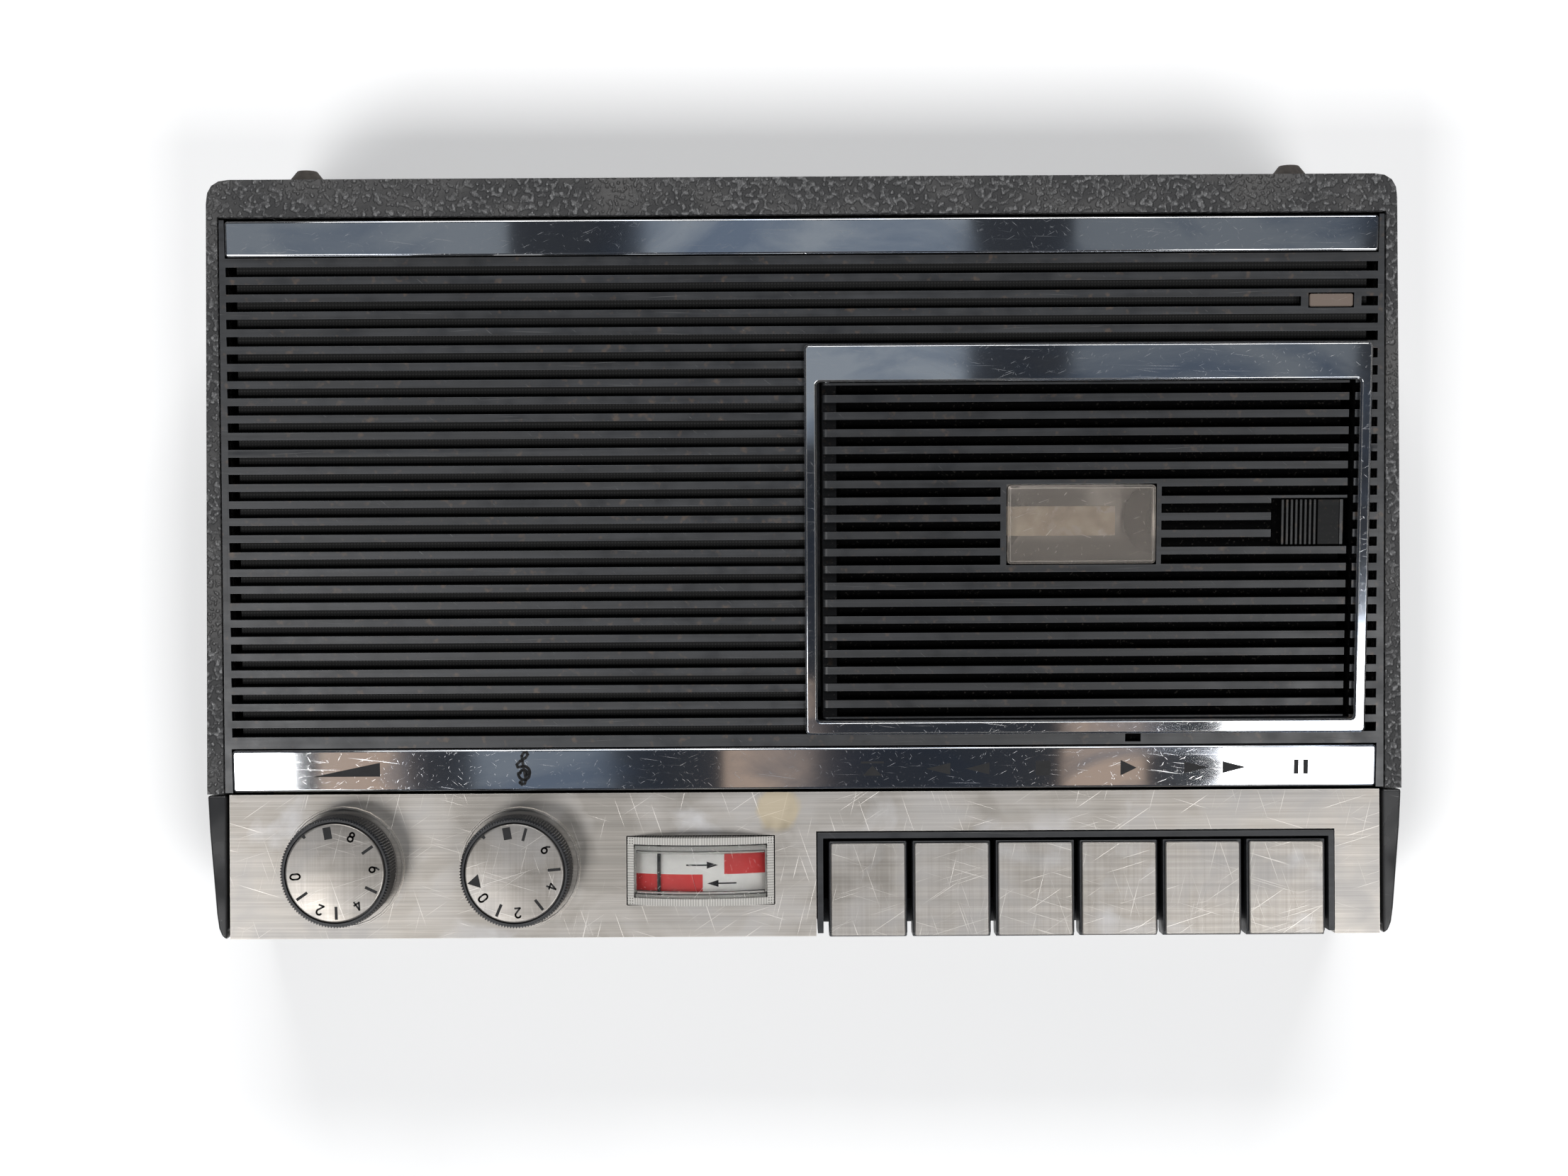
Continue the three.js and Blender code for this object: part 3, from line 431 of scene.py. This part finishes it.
def meter_cover():
    """The meter's clear cover, with a milky ribbed rim round the reading band."""
    f = clear_cover("meter_glass", (1.0, 1.0, 0.99))
    low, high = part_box("meter_lens")
    centre = (low + high) / 2 - NODES["meter_lens"].matrix_world.translation
    x = f.math("ABSOLUTE", f.math("SUBTRACT", f.axis("X"), centre.x))
    y = f.math("ABSOLUTE", f.math("SUBTRACT", f.axis("Y"), centre.y))
    ends = f.math("GREATER_THAN", x, (high.x - low.x) / 2 - 1.6 * MM)
    sides = f.math("GREATER_THAN", y, (high.y - low.y) / 2 - 1.7 * MM)
    pitch = math.tau / (0.62 * MM)
    across = f.math("SINE", f.math("MULTIPLY", x, pitch))
    along = f.math("SINE", f.math("MULTIPLY", y, pitch))
    teeth = f.math("MAXIMUM", f.math("MULTIPLY", sides, across), f.math("MULTIPLY", ends, along))
    rim = f.math("MAXIMUM", ends, sides)
    milky = f.blend(f.remap(teeth, -0.5, 0.8), (0.3, 0.29, 0.27), (0.72, 0.7, 0.66))
    f.color(f.blend(rim, (1.0, 1.0, 0.99), milky))
    f.link(f.remap(rim, 0, 1, 1.0, 0.15), f.shader.inputs["Transmission Weight"])
    f.bump(teeth, 0.1, 0.6)
    return f


def flaked_spring():
    """The lid spring's pale leaf, its coating flaked to near white toward the right."""
    f = dull("spring_leaf", (0.86, 0.74, 0.64), 0.5, 260, 0.02)
    leaf = f.shader.inputs["Base Color"].links[0].from_socket
    flakes = f.remap(f.noise((240,) * 3, detail=5.0, distortion=0.6), 0.55, 0.62)
    low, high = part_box("lid_spring")
    origin = NODES["lid_spring"].matrix_world.translation.x
    toward_right = f.remap(f.axis("X"), low.x - origin + 4 * MM, high.x - origin)
    f.color(f.blend(f.math("MULTIPLY", flakes, toward_right), leaf, (1.0, 0.98, 0.95)))
    return f


def meter_print():
    """White band with red warning zones: right third above the middle, left half below it."""
    f = Finish("meter_print", roughness=0.55)
    centre = box_centre("meter_scale")
    x = f.math("SUBTRACT", f.axis("X"), centre.x)
    y = f.math("SUBTRACT", f.axis("Y"), centre.y)
    upper = f.math("GREATER_THAN", y, -0.0007)
    right = f.math("GREATER_THAN", x, 0.0057)
    left = f.math("LESS_THAN", x, 0.0005)
    red = f.math("MAXIMUM", f.math("MULTIPLY", upper, right),
                 f.math("MULTIPLY", f.math("SUBTRACT", 1.0, upper), left))
    paper = f.remap(f.noise((500,) * 3), 0.3, 0.7)
    white = f.blend(paper, (0.9, 0.89, 0.86), (0.98, 0.97, 0.94))
    printed = f.blend(red, white, (0.78, 0.05, 0.05))
    outside = f.math("GREATER_THAN", f.math("ABSOLUTE", f.math("ADD", y, 0.0003)), 0.0045)
    f.color(f.blend(outside, printed, (0.16, 0.155, 0.15)))
    f.bump(paper, 0.01, 0.3)
    return f


CASE = grained_case()
GLOSS = gloss_black()
BLACK = black_plastic()
GRILLE = black_plastic("grille_plastic", deck_node="grille_panel")
LID = black_plastic("lid_plastic", deck_node="cassette_lid")
LATCH = black_plastic("latch_plastic", (0.007, 0.0075, 0.008), deck_node="lid_latch")
KNOB = black_plastic("knob_plastic", (0.012, 0.012, 0.013))
CHROME = chrome()
PANEL = stained_panel()
PLATE = satin_metal("satin_plate", crossed=True, shade=0.84)
DISC = satin_metal("satin_disc", crossed=True, shade=0.74)
STEEL = steel()
BRASS = steel("brass", (0.6, 0.48, 0.3))
SPRING = flaked_spring()
RUBBER = dull("rubber", (0.05, 0.042, 0.036))
INNER = dull("dark_inner", (0.012, 0.012, 0.013), 0.85)
BOARD = dull("board", (0.24, 0.14, 0.05), 0.6, 300, 0.02)
CLOTH = woven("speaker_cloth", (0.012, 0.012, 0.012))
WINDOW = clear_cover("window", (0.68, 0.62, 0.56), 0.07, 0.86, edge=0.9)
METER_GLASS = meter_cover()
LENS = clear_cover("indicator", (0.24, 0.19, 0.16), 0.1, 0.25)
RAIL = clear_cover("meter_rail", (0.86, 0.85, 0.82), 0.12, 0.45)
METER_PRINT = meter_print()
INK = dull("ink", (0.008, 0.008, 0.009), 0.75, 700, 0.01)


# ---------------------------------------------------------------- CAD nodes: curves, edges, finishes
def rounding_group():
    """Joins split vertices, then shades smooth everywhere but across edges sharper than 28 degrees."""
    group = bpy.data.node_groups.new("join_and_shade", "GeometryNodeTree")
    group.interface.new_socket("Geometry", in_out="INPUT", socket_type="NodeSocketGeometry")
    group.interface.new_socket("Geometry", in_out="OUTPUT", socket_type="NodeSocketGeometry")
    start = group.nodes.new("NodeGroupInput")
    end = group.nodes.new("NodeGroupOutput")
    weld = group.nodes.new("GeometryNodeMergeByDistance")
    weld.inputs["Distance"].default_value = 0.000004
    smooth = group.nodes.new("GeometryNodeSetShadeSmooth")
    sharp = group.nodes.new("GeometryNodeSetShadeSmooth")
    sharp.domain = "EDGE"
    sharp.inputs["Shade Smooth"].default_value = False
    angle = group.nodes.new("GeometryNodeInputMeshEdgeAngle")
    limit = group.nodes.new("FunctionNodeCompare")
    limit.inputs[1].default_value = math.radians(28)
    group.links.new(start.outputs[0], weld.inputs["Geometry"])
    group.links.new(weld.outputs["Geometry"], smooth.inputs["Geometry"])
    group.links.new(smooth.outputs["Geometry"], sharp.inputs["Geometry"])
    group.links.new(angle.outputs["Unsigned Angle"], limit.inputs[0])
    group.links.new(limit.outputs["Result"], sharp.inputs["Selection"])
    group.links.new(sharp.outputs["Geometry"], end.inputs[0])
    return group


ROUNDING = rounding_group()


def soften(node, width_mm, segments=2):
    """Adds a bevel of that width on a CAD node's sharp edges."""
    target = NODES[node]
    flat = target.modifiers.new("flats", "DECIMATE")
    flat.decimate_type = "DISSOLVE"
    flat.angle_limit = math.radians(0.6)
    bevel = target.modifiers.new("soft_edges", "BEVEL")
    bevel.width = width_mm * MM
    bevel.segments = segments
    bevel.limit_method = "ANGLE"
    bevel.angle_limit = math.radians(32)
    bevel.harden_normals = True


def dress(finish, *nodes, edge_mm=0.0):
    for name in nodes:
        target = NODES[name]
        target.data.materials.clear()
        target.data.materials.append(finish.material)
        target.modifiers.new("join_and_shade", "NODES").node_group = ROUNDING
        if edge_mm:
            soften(name, edge_mm)


KEY_NODES = sorted(name for name in NODES if name.startswith("key_") and "plate" not in name)
KEY_NODES = [name for name in KEY_NODES if name not in ("key_bezel", "key_shaft")]
PLATE_NODES = sorted(name for name in NODES if name.startswith("key_plate_"))
FOOT_NODES = sorted(name for name in NODES if "foot" in name)

dress(CASE, "case_shell", edge_mm=0.5)
dress(GLOSS, "left_cheek", "right_cheek", edge_mm=0.6)
dress(BLACK, "front_wall", "bottom_cover", "battery_door", edge_mm=0.3)
dress(GRILLE, "grille_panel", edge_mm=0.16)
dress(LID, "cassette_lid", edge_mm=0.16)
dress(LATCH, "lid_latch", edge_mm=0.15)
dress(BLACK, "key_bezel", edge_mm=0.15)
dress(BLACK, *KEY_NODES, edge_mm=0.4)
dress(BLACK, "supply_spindle", "takeup_spindle")
dress(CHROME, "rear_trim_bar", "front_trim_bar", "lid_surround", edge_mm=0.2)
dress(PANEL, "control_panel", edge_mm=0.12)
dress(PLATE, *PLATE_NODES)
dress(KNOB, "volume_knob", "tone_knob")
dress(DISC, "volume_disc", "tone_disc")
dress(STEEL, "volume_pot", "tone_pot", "chassis_plate", "motor", "head_carriage", "flywheel")
dress(STEEL, "lid_hinge_pin", "key_shaft")
dress(BRASS, "motor_pulley")
dress(SPRING, "lid_spring")
dress(RUBBER, "drive_belt", "pinch_roller", *FOOT_NODES)
dress(INNER, "battery_tray", "meter_body", "speaker")
dress(CLOTH, "speaker_cloth")
dress(BOARD, "circuit_board")
dress(WINDOW, "lid_window")
dress(METER_GLASS, "meter_lens")
dress(LENS, "indicator_lens")
dress(METER_PRINT, "meter_scale")
dress(GLOSS, "meter_needle")


# ---------------------------------------------------------------- new pieces from mesh code
def make_piece(name, vertices, faces, finish, body, smooth=False):
    mesh = bpy.data.meshes.new(name)
    mesh.from_pydata([tuple(v) for v in vertices], [], faces)
    mesh.validate()
    mesh.materials.append(finish.material)
    piece = bpy.data.objects.new(name, mesh)
    SCENE.collection.objects.link(piece)
    if smooth:
        mesh.shade_smooth()
        mesh.set_sharp_from_angle(angle=math.radians(34))
    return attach(piece, body)


def ring_solid(rings):
    """Vertices and faces of a closed solid from equal rings of points, from the lowest to the highest."""
    count = len(rings[0])
    vertices = [point for ring in rings for point in ring]
    faces = [list(range(count))[::-1]]
    for r in range(len(rings) - 1):
        for i in range(count):
            j = (i + 1) % count
            faces.append([r * count + i, r * count + j, (r + 1) * count + j, (r + 1) * count + i])
    top = (len(rings) - 1) * count
    faces.append([top + i for i in range(count)])
    return vertices, faces


def knob_grip(name, cad_node, body, teeth=116):
    """Finely knurled grip with a plain collar below and a chamfered crown round the disc."""
    low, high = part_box(cad_node)
    centre = (low + high) / 2
    outer = (high.x - low.x) / 2
    steps = teeth * 4

    def ring(radius, z, depth):
        points = []
        for i in range(steps):
            angle = 2 * math.pi * i / steps
            wave = abs((i % 4) - 2) / 2
            r = radius - depth * wave
            points.append((centre.x + r * math.cos(angle), centre.y + r * math.sin(angle), z))
        return points

    tooth = 0.42 * MM
    rings = [
        ring(outer - 0.6 * MM, low.z, 0),
        ring(outer - 0.2 * MM, low.z + 0.4 * MM, 0),
        ring(outer - 0.2 * MM, low.z + 2.0 * MM, 0),
        ring(outer, low.z + 2.5 * MM, tooth),
        ring(outer, high.z - 0.7 * MM, tooth),
        ring(outer - 0.55 * MM, high.z - 0.1 * MM, tooth * 0.5),
        ring(outer - 0.75 * MM, high.z, 0),
        ring(outer - 1.15 * MM, high.z, 0),
        ring(outer - 1.3 * MM, high.z - 0.9 * MM, 0),
    ]
    piece = make_piece(name, *ring_solid(rings), KNOB, body)
    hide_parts(cad_node)


def knob_disc(name, cad_node, body):
    """Thin spun cap, its rim rolled down."""
    low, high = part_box(cad_node)
    centre = (low + high) / 2
    outer = (high.x - low.x) / 2
    steps = 128
    profile = ((0, low.z), (0, high.z - 0.35 * MM), (0.06, high.z - 0.17 * MM), (0.2, high.z - 0.04 * MM),
               (0.42, high.z))
    rings = []
    for inset, z in profile:
        r = outer - inset * MM
        rings.append([(centre.x + r * math.cos(2 * math.pi * i / steps),
                       centre.y + r * math.sin(2 * math.pi * i / steps), z) for i in range(steps)])
    piece = make_piece(name, *ring_solid(rings), DISC, body, smooth=True)
    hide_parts(cad_node)


PAINT = 0.04
NUMERAL_SIZE = 1.18
NUMERAL_STROKE = 0.42
TICK_HALF = 0.34


def flat_marks(name, outlines, place, body):
    """Thin painted shapes. place turns (a, b, height) in millimetres into a row-frame point."""
    vertices = []
    faces = []
    for outline in outlines:
        start = len(vertices)
        count = len(outline)
        before = outline[-1:] + outline[:-1]
        area = sum(ax * by - bx * ay for (ax, ay), (bx, by) in zip(before, outline))
        points = outline if area > 0 else outline[::-1]
        vertices += [place(a, b, 0.0) for a, b in points]
        vertices += [place(a, b, PAINT) for a, b in points]
        faces.append([start + i for i in range(count)][::-1])
        faces.append([start + count + i for i in range(count)])
        for i in range(count):
            j = (i + 1) % count
            faces.append([start + i, start + j, start + count + j, start + count + i])
    return make_piece(name, vertices, faces, INK, body)


def stroke(points, width):
    """Outlines of the short bars that join points, each a little longer than its step."""
    outlines = []
    for (ax, ay), (bx, by) in zip(points, points[1:]):
        length = math.hypot(bx - ax, by - ay)
        if length < 1e-6:
            continue
        dx = (bx - ax) / length
        dy = (by - ay) / length
        grow = width * 0.25
        nx = -dy * width / 2
        ny = dx * width / 2
        ax2, ay2 = ax - dx * grow, ay - dy * grow
        bx2, by2 = bx + dx * grow, by + dy * grow
        outlines.append([(ax2 - nx, ay2 - ny), (bx2 - nx, by2 - ny),
                         (bx2 + nx, by2 + ny), (ax2 + nx, ay2 + ny)])
    return outlines


def arc(cx, cy, r, start, end, steps=14, squash=1.0):
    """Points on an arc, angles in degrees."""
    points = []
    for i in range(steps + 1):
        angle = math.radians(start + (end - start) * i / steps)
        points.append((cx + r * squash * math.cos(angle), cy + r * math.sin(angle)))
    return points


# Numerals in a cell 1 wide and 2 high, centred on the origin.
NUMERALS = {
    "0": [arc(0, 0.35, 0.62, 0, 180, squash=0.85) + arc(0, -0.35, 0.62, 180, 360, squash=0.85)
          + [(0.527, 0.35)]],
    "2": [arc(0, 0.42, 0.55, 160, -35, squash=0.95) + [(-0.52, -0.95), (0.55, -0.95)]],
    "4": [[(0.2, -0.97), (0.2, 0.97), (-0.6, -0.35), (0.6, -0.35)]],
    "6": [arc(0, -0.4, 0.55, 0, 360, 20, 0.95), [(-0.5, -0.25), (-0.3, 0.45), (0.12, 0.97)]],
    "8": [arc(0, 0.48, 0.44, 0, 360, 18), arc(0, -0.42, 0.54, 0, 360, 18)],
}


def dial_marks(name, cad_node, body, numbers, ticks, square, notch, pointer=None):
    """Dial scale: numerals and ticks round the rim, at angles in degrees anticlockwise from +X."""
    low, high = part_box(cad_node)
    centre = (low + high) / 2
    rim = (high.x - low.x) / 2 / MM

    def turned(angle, radial, across):
        a = math.radians(angle)
        return (radial * math.cos(a) - across * math.sin(a), radial * math.sin(a) + across * math.cos(a))

    outlines = []
    for digit, angle in numbers:
        for line in NUMERALS[digit]:
            points = [turned(angle, rim - 2.35 + y * NUMERAL_SIZE, -x * NUMERAL_SIZE) for x, y in line]
            outlines += stroke(points, NUMERAL_STROKE)
    for angle in ticks:
        outlines.append([turned(angle, rim - 0.7, TICK_HALF), turned(angle, rim - 3.8, TICK_HALF),
                         turned(angle, rim - 3.8, -TICK_HALF), turned(angle, rim - 0.7, -TICK_HALF)])
    outlines.append([turned(square, rim - 0.7, 0.95), turned(square, rim - 3.6, 0.95),
                     turned(square, rim - 3.6, -0.95), turned(square, rim - 0.7, -0.95)])
    outlines.append([turned(notch, rim - 0.1, 0.45), turned(notch, rim - 0.9, 0.3),
                     turned(notch, rim - 0.9, -0.3), turned(notch, rim - 0.1, -0.45)])
    if pointer is not None:
        outlines.append([turned(pointer, rim - 0.35, 0), turned(pointer, rim - 3.3, 1.7),
                         turned(pointer, rim - 3.3, -1.7)])
    top = high.z - 0.01 * MM
    flat_marks(name, outlines, lambda a, b, h: (centre.x + a * MM, centre.y + b * MM, top + h * MM), body)


knob_grip("volume_grip", "volume_knob", "volume_control")
knob_grip("tone_grip", "tone_knob", "tone_control")
knob_disc("volume_cap", "volume_disc", "volume_control")
knob_disc("tone_cap", "tone_disc", "tone_control")
dial_marks("volume_scale_marks", "volume_disc", "volume_control",
           (("0", 185), ("2", 248), ("4", 305), ("6", 5), ("8", 65)), (215, 272, 335, 35), 100, 130)
dial_marks("tone_scale_marks", "tone_disc", "tone_control",
           (("0", 218), ("2", 275), ("4", 340), ("6", 37)), (247, 308, 5, 75), 100, 130, pointer=192)


# ---------------------------------------------------------------- symbols on the front chrome bar
BAR_TOP_W = 0.89
SYMBOL_V = 5.45


def on_bar(u, v, height):
    return deck(u, v, BAR_TOP_W + height)


def triangle(u, direction, half=1.45, length=5.8):
    tip = u + direction * length / 2
    back = u - direction * length / 2
    return [(tip, SYMBOL_V), (back, SYMBOL_V + half), (back, SYMBOL_V - half)]


def rectangle(u0, u1, v0, v1):
    return [(u0, v0), (u1, v0), (u1, v1), (u0, v1)]


def treble_clef(u, v, height):
    """A plain music clef as one line of changing width."""
    line = arc(0, -0.16, 0.10, -60, 180, 12) + arc(0.01, -0.16, 0.2, 180, 330, 12, 0.85)
    line += arc(0.0, -0.14, 0.19, -20, 110, 10, 0.95) + [(-0.17, 0.02), (-0.2, 0.1)]
    line += [(-0.1, 0.2), (0.06, 0.3), (0.13, 0.4), (0.09, 0.48), (0.02, 0.47), (-0.05, 0.36), (-0.03, 0.2)]
    stem = [(-0.03, 0.2), (0.06, -0.38), (0.03, -0.47), (-0.06, -0.5), (-0.12, -0.44)]
    outlines = []
    for part, width in ((line, 0.085), (stem, 0.08)):
        points = [(u + x * height, v + y * height) for x, y in part]
        outlines += stroke(points, width * height)
    dot = arc(u - 0.09 * height, v - 0.44 * height, 0.07 * height, 0, 330, 10)
    outlines.append(dot)
    return outlines


def bar_symbols():
    wedge = [(-119.0, SYMBOL_V - 1.15), (-102.8, SYMBOL_V - 1.15), (-102.8, SYMBOL_V + 2.25)]
    flat_marks("symbol_volume", [wedge], on_bar, "case")
    flat_marks("symbol_tone", treble_clef(-68.0, SYMBOL_V + 0.8, 8.2), on_bar, "case")
    eject = [[(16.5, SYMBOL_V + 0.9), (14.2, SYMBOL_V - 1.6), (18.8, SYMBOL_V - 1.6)],
             rectangle(13.7, 19.3, SYMBOL_V + 1.4, SYMBOL_V + 1.9)]
    flat_marks("symbol_eject", eject, on_bar, "case")
    flat_marks("symbol_rewind", [triangle(32.5, -1), triangle(42.0, -1)], on_bar, "case")
    flat_marks("symbol_stop", [rectangle(56.1, 59.7, SYMBOL_V - 1.8, SYMBOL_V + 1.8)], on_bar, "case")
    flat_marks("symbol_start", [triangle(78.6, 1, 1.9, 3.9)], on_bar, "case")
    flat_marks("symbol_forward", [triangle(95.0, 1), triangle(104.3, 1)], on_bar, "case")
    pause = [rectangle(118.6, 119.8, SYMBOL_V - 1.8, SYMBOL_V + 1.8),
             rectangle(120.9, 122.1, SYMBOL_V - 1.8, SYMBOL_V + 1.8)]
    flat_marks("symbol_pause", pause, on_bar, "case")


bar_symbols()


# ---------------------------------------------------------------- arrows on the meter scale
def meter_arrows():
    """Two arrows that follow the curved scale: one right above the middle, one left below it."""
    low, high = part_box("meter_scale")
    centre = (low + high) / 2
    pivot = Vector(JOINTS["needle_swing"]["pos_m"])
    radius = high.z - pivot.z

    def place(a, b, height):
        angle = a * MM / radius
        r = radius + (height + 0.01) * MM
        return (pivot.x + r * math.sin(angle), centre.y + b * MM, pivot.z + r * math.cos(angle))

    def arrow(x0, x1, y):
        direction = 1 if x1 > x0 else -1
        back = x1 - direction * 2.7
        shaft = [(x0 + (back - x0) * i / 10, y) for i in range(11)]
        head = [[(x1, y), (back, y + 0.85), (back, y - 0.85)]]
        return stroke(shaft, 0.34) + head

    flat_marks("meter_arrows", arrow(-3.4, 4.2, 1.55) + arrow(8.6, 1.6, -2.9), place, "case")


meter_arrows()


def meter_rails():
    """Clear serrated rails and two round ridges under the meter's cover, clear of the needle."""
    low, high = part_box("meter_lens")
    centre = (low + high) / 2
    crown_radius = 40.5 * MM
    crown_centre = high.z - 41.6 * MM
    vertices = []
    faces = []

    def under_cover(x, y, drop):
        r = crown_radius - drop * MM
        return (centre.x + x * MM, centre.y + y * MM, crown_centre + math.sqrt(r * r - (x * MM) ** 2))

    def tooth(corners, tip):
        start = len(vertices)
        vertices.extend(under_cover(x, y, 0.0) for x, y in corners)
        vertices.append(under_cover(*tip, 0.55))
        faces.append([start, start + 1, start + 2, start + 3])
        for i in range(4):
            faces.append([start + (i + 1) % 4, start + i, start + 4])

    pitch = 0.62
    for k in range(-25, 26):
        x = k * pitch
        for y0, y1 in ((5.0, 6.1), (-6.6, -5.7)):
            tooth([(x - 0.3, y0), (x + 0.3, y0), (x + 0.3, y1), (x - 0.3, y1)], (x, (y0 + y1) / 2))
    for k in range(-8, 9):
        y = k * pitch
        for x0, x1 in ((-16.6, -15.5), (15.5, 16.6)):
            tooth([(x0, y - 0.3), (x1, y - 0.3), (x1, y + 0.3), (x0, y + 0.3)], ((x0 + x1) / 2, y))
    make_piece("meter_serrations", vertices, faces, RAIL, "case")
    for name, y in (("rear", 4.55), ("front", -5.2)):
        steps = 36
        rings = []
        for i in range(steps + 1):
            x = -15.3 + 30.6 * i / steps
            rings.append([under_cover(x, y + 0.24 * math.cos(a), 0.26 + 0.24 * math.sin(a))
                          for a in (math.tau * j / 8 for j in range(8))])
        make_piece(f"meter_ridge_{name}", *ring_solid(rings), RAIL, "case", smooth=True)


meter_rails()


# ---------------------------------------------------------------- studio
def make_floor():
    half = 2.2
    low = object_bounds()[0].z - 0.0001
    mesh = bpy.data.meshes.new("floor")
    mesh.from_pydata([(-half, -half, low), (half, -half, low), (half, half, low), (-half, half, low)], [],
                     [(0, 1, 2, 3)])
    finish = Finish("floor", (0.86, 0.86, 0.86), 0.0, 0.7)
    finish.color(finish.blend(finish.noise((3.0,) * 3), (0.96, 0.96, 0.96), (0.98, 0.98, 0.98)))
    finish.shader.inputs["Emission Color"].default_value = (1, 1, 1, 1)
    finish.shader.inputs["Emission Strength"].default_value = 0.12
    mesh.materials.append(finish.material)
    floor = bpy.data.objects.new("floor", mesh)
    SCENE.collection.objects.link(floor)


def softbox(name, at, size, power, color=(1, 1, 1), facing=None):
    data = bpy.data.lights.new(name, "AREA")
    data.shape = "RECTANGLE"
    data.size, data.size_y = size
    data.energy = power
    data.color = color
    lamp = bpy.data.objects.new(name, data)
    lamp.location = at
    lamp.rotation_mode = "QUATERNION"
    lamp.rotation_quaternion = Vector(facing or -Vector(at)).to_track_quat("-Z", "Y")
    SCENE.collection.objects.link(lamp)


LAMP_HEIGHT = 2.0
DOWN = (0, 0, -1)
WARM = (1.0, 0.74, 0.56)
COOL = (0.8, 0.9, 1.0)
FRONT_CARD_Y = -0.66
REAR_CARD_Y = -0.145
WARM_CARDS = (("left", -0.47, 0.09), ("middle", -0.022, 0.1), ("right", 0.345, 0.09))
COOL_CARDS = (("left", -0.46, 0.34, 0.075), ("middle", 0.02, 0.34, 0.11), ("right", 0.45, 0.3, 0.05))


def make_studio():
    """Three softboxes for form, and dim cards that the chrome bars mirror."""
    make_floor()
    softbox("rear_softbox", (0.1, 1.7, 1.35), (1.5, 0.8), 30)
    softbox("left_softbox", (-0.97, -0.95, LAMP_HEIGHT), (0.84, 0.8), 29, facing=DOWN)
    softbox("right_softbox", (0.9, -0.915, LAMP_HEIGHT), (0.84, 0.8), 24, facing=DOWN)
    for name, x, width in WARM_CARDS:
        at = (x, FRONT_CARD_Y, LAMP_HEIGHT)
        softbox(f"warm_card_{name}", at, (width, 0.2), 0.028, WARM, facing=DOWN)
    softbox("cool_card_front", (-0.27, FRONT_CARD_Y, LAMP_HEIGHT), (0.15, 0.2), 0.026, COOL, facing=DOWN)
    for name, x, width, power in COOL_CARDS:
        at = (x, REAR_CARD_Y, LAMP_HEIGHT)
        softbox(f"cool_card_{name}", at, (width, 0.3), power, COOL, facing=DOWN)
    world = bpy.data.worlds.new("studio")
    world.use_nodes = True
    background = world.node_tree.nodes["Background"]
    background.inputs["Color"].default_value = (0.72, 0.8, 0.95, 1)
    background.inputs["Strength"].default_value = 0.055
    SCENE.world = world
    SCENE.view_settings.view_transform = "Standard"


make_studio()
